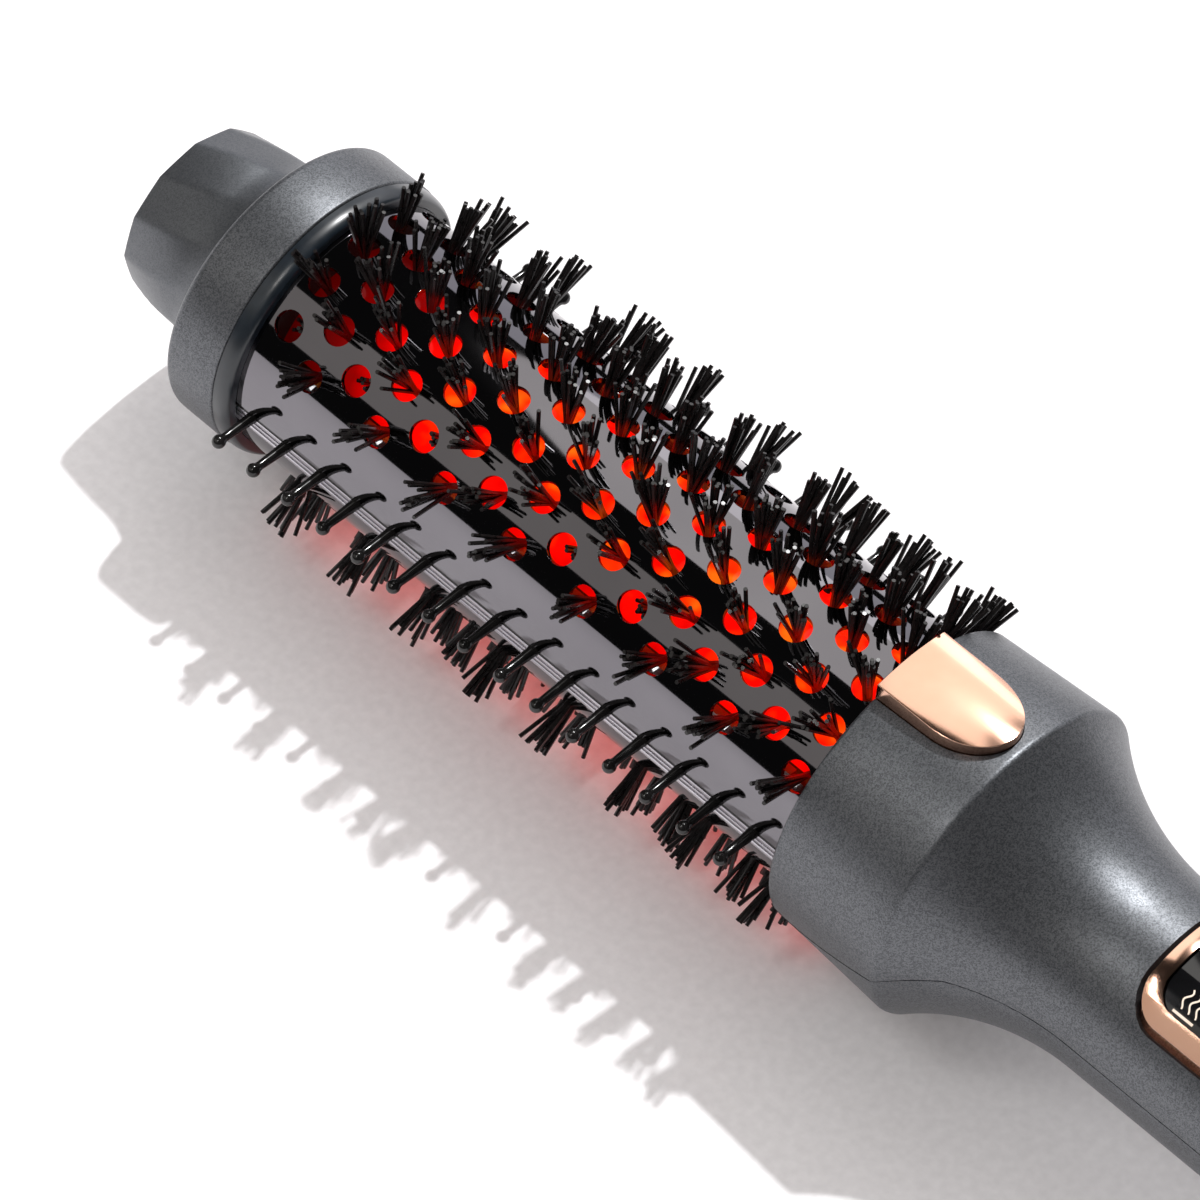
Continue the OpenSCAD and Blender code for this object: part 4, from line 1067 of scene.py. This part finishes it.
def buildGland():
    flange, end = stationsOf("swivel_gland")
    out = stationsOf("handle_upper_shell")[1] + gland["gap"]
    root, mouth, bore, lead = [gland[key] for key in ("rootRadius", "mouthRadius", "bore",
                                                      "leadBore")]
    neck, floor = flange + gland["flangeWidth"], end - gland["boreDepth"]
    shoulder, slope = root - gland["stepIn"], gland["grooveSlope"]

    def skin(station):
        share = (station - out - 2) / (end - 0.4 - out - 2)
        return shoulder + (mouth + gland["wallOut"] - shoulder) * max(0, share)
    points = [(flange, lead), (flange, gland["flangeRadius"]), (neck, gland["flangeRadius"]),
              (neck, gland["neckRadius"]), (out, gland["neckRadius"]), (out, root - 0.3),
              (out + 0.3, root), (out + 1.6, root), (out + 2.0, shoulder)]
    for k in range(gland["grooves"]):
        first = out + gland["grooveStart"] + gland["groovePitch"] * k
        last = first + gland["grooveWidth"]
        points += [(first - slope, skin(first)), (first + slope, skin(first) - gland["grooveDepth"]),
                   (last - slope, skin(last) - gland["grooveDepth"]), (last + slope, skin(last))]
    points += [(end - 0.4, mouth + gland["wallOut"]), (end - 0.1, mouth), (end, mouth - 0.3),
               (end, bore + 0.2), (end - 0.2, bore), (floor, bore), (floor, lead)]
    bm = bmesh.new()
    spinProfile(bm, points, 96, closed=True)
    finishPiece("swivelGland", bm, "gland_rubber", ["swivel_gland"], "gland")


buildGland()
print("gland made")


# CAD parts that stay get the finish of their slot

for subpart in frame["record"]["subparts"]:
    node = frame["nodes"][subpart["node"]]
    finish = finishes[subpart["material_slot"]]
    if node.data.materials:
        for k in range(len(node.data.materials)):
            node.data.materials[k] = finish
    else:
        node.data.materials.append(finish)


# Studio: pale paper, a hard key light from behind on the right, two soft boxes and a dim room

studio = {
    "paperSize": 6.0, "paperDark": (0.83, 0.825, 0.84), "paperLight": (0.9, 0.895, 0.91),
    "keyFrom": (0.143, -0.537, 1.0), "keyPower": 2.4, "keyAngle": 1.5,
    "fill": (0.62, 0.59, 0.58), "dim": 0.012, "backdrop": 0.9,
}
softBoxes = {
    "nearBox": {"from": (0.394, 0.672, 0.627), "distance": 1.1, "width": 1.5, "height": 0.62,
                "power": 1.6, "colour": (1.0, 0.95, 0.88), "station": 90},
    "farBox": {"from": (0.35, -0.86, 0.36), "distance": 1.2, "width": 1.6, "height": 0.6,
               "power": 3.0, "colour": (0.95, 0.94, 1.0), "station": 90},
    "hoodCard": {"from": (0.394, -0.473, 0.788), "distance": 0.4, "width": 0.16, "height": 0.44,
                 "power": 0.3, "colour": (1.0, 0.97, 0.93), "station": 136},
    "collarCard": {"from": (0.394, 0.473, 0.788), "distance": 0.4, "width": 0.03, "height": 0.1,
                   "power": 0.16, "colour": (1.0, 0.98, 0.96), "station": 201},
}
redGlow = {"station": 80, "height": 4.0, "length": 95, "width": 26, "power": 0.004,
           "colour": (1.0, 0.06, 0.04)}


def addFloor():
    bm = bmesh.new()
    bmesh.ops.create_grid(bm, x_segments=8, y_segments=8, size=studio["paperSize"] / 2,
                          matrix=Matrix.Translation((0, 0, -0.00005)))
    mesh = bpy.data.meshes.new("floor")
    bm.to_mesh(mesh)
    bm.free()
    paper = newFinish("paper", studio["paperDark"], studio["paperLight"], (0.85, 0.95), size=1.4,
                      height=0.012)
    setInputs(shaderOf(paper), Specular_IOR_Level=0.1)
    mesh.materials.append(paper)
    floor = bpy.data.objects.new("floor", mesh)
    show(floor)


def addLight(name, kind, power, colour, place, size=None):
    data = bpy.data.lights.new(name, kind)
    data.energy = power
    data.color = colour
    if size:
        data.shape = "RECTANGLE"
        data.size, data.size_y = size
    light = bpy.data.objects.new(name, data)
    light.matrix_world = place
    show(light)
    return data


def addKey():
    turn = Vector(studio["keyFrom"]).to_track_quat("Z", "Y").to_matrix().to_4x4()
    key = addLight("key", "SUN", studio["keyPower"], (1, 1, 1), turn)
    key.angle = radians(studio["keyAngle"])


def addSoftBox(name, box):
    direction = Vector(box["from"]).normalized()
    across = Vector((1, 0, 0)) - direction * direction.x
    across.normalize()
    turn = Matrix((across, direction.cross(across), direction)).transposed().to_4x4()
    middle = benchToFrame @ Vector((0, 0, box["station"]))
    addLight(name, "AREA", box["power"], box["colour"],
             Matrix.Translation(middle + direction * box["distance"]) @ turn,
             (box["width"], box["height"]))


def addRedGlow():
    # red light that leaves the lower vents and tints the paper
    place = benchToFrame @ Vector((0, 0, redGlow["station"]))
    place.z = redGlow["height"] * mm
    addLight("redGlow", "AREA", redGlow["power"], redGlow["colour"], Matrix.Translation(place),
             (redGlow["length"] * mm, redGlow["width"] * mm))


def setWorld():
    # pale to the camera, soft fill on matt surfaces, and dim in the mirror finishes
    world = bpy.data.worlds.new("studio")
    world.use_nodes = True
    bpy.context.scene.world = world
    tree = world.node_tree
    rays = tree.nodes.new("ShaderNodeLightPath")
    colour = None
    for ray, tone in (("Is Glossy Ray", studio["dim"]), ("Is Camera Ray", studio["backdrop"])):
        mix = tree.nodes.new("ShaderNodeMix")
        mix.data_type = "RGBA"
        setInputs(mix, A=(*studio["fill"], 1), B=(tone, tone, tone, 1))
        tree.links.new(rays.outputs[ray], mix.inputs["Factor"])
        if colour:
            tree.links.new(colour, mix.inputs["A"])
        colour = mix.outputs["Result"]
    tree.links.new(colour, tree.nodes["Background"].inputs["Color"])


def setColours():
    view = bpy.context.scene.view_settings
    view.view_transform = "Standard"
    view.look = "None"


setColours()
addFloor()
addKey()
for name, box in softBoxes.items():
    addSoftBox(name, box)
addRedGlow()
setWorld()
print("studio made")
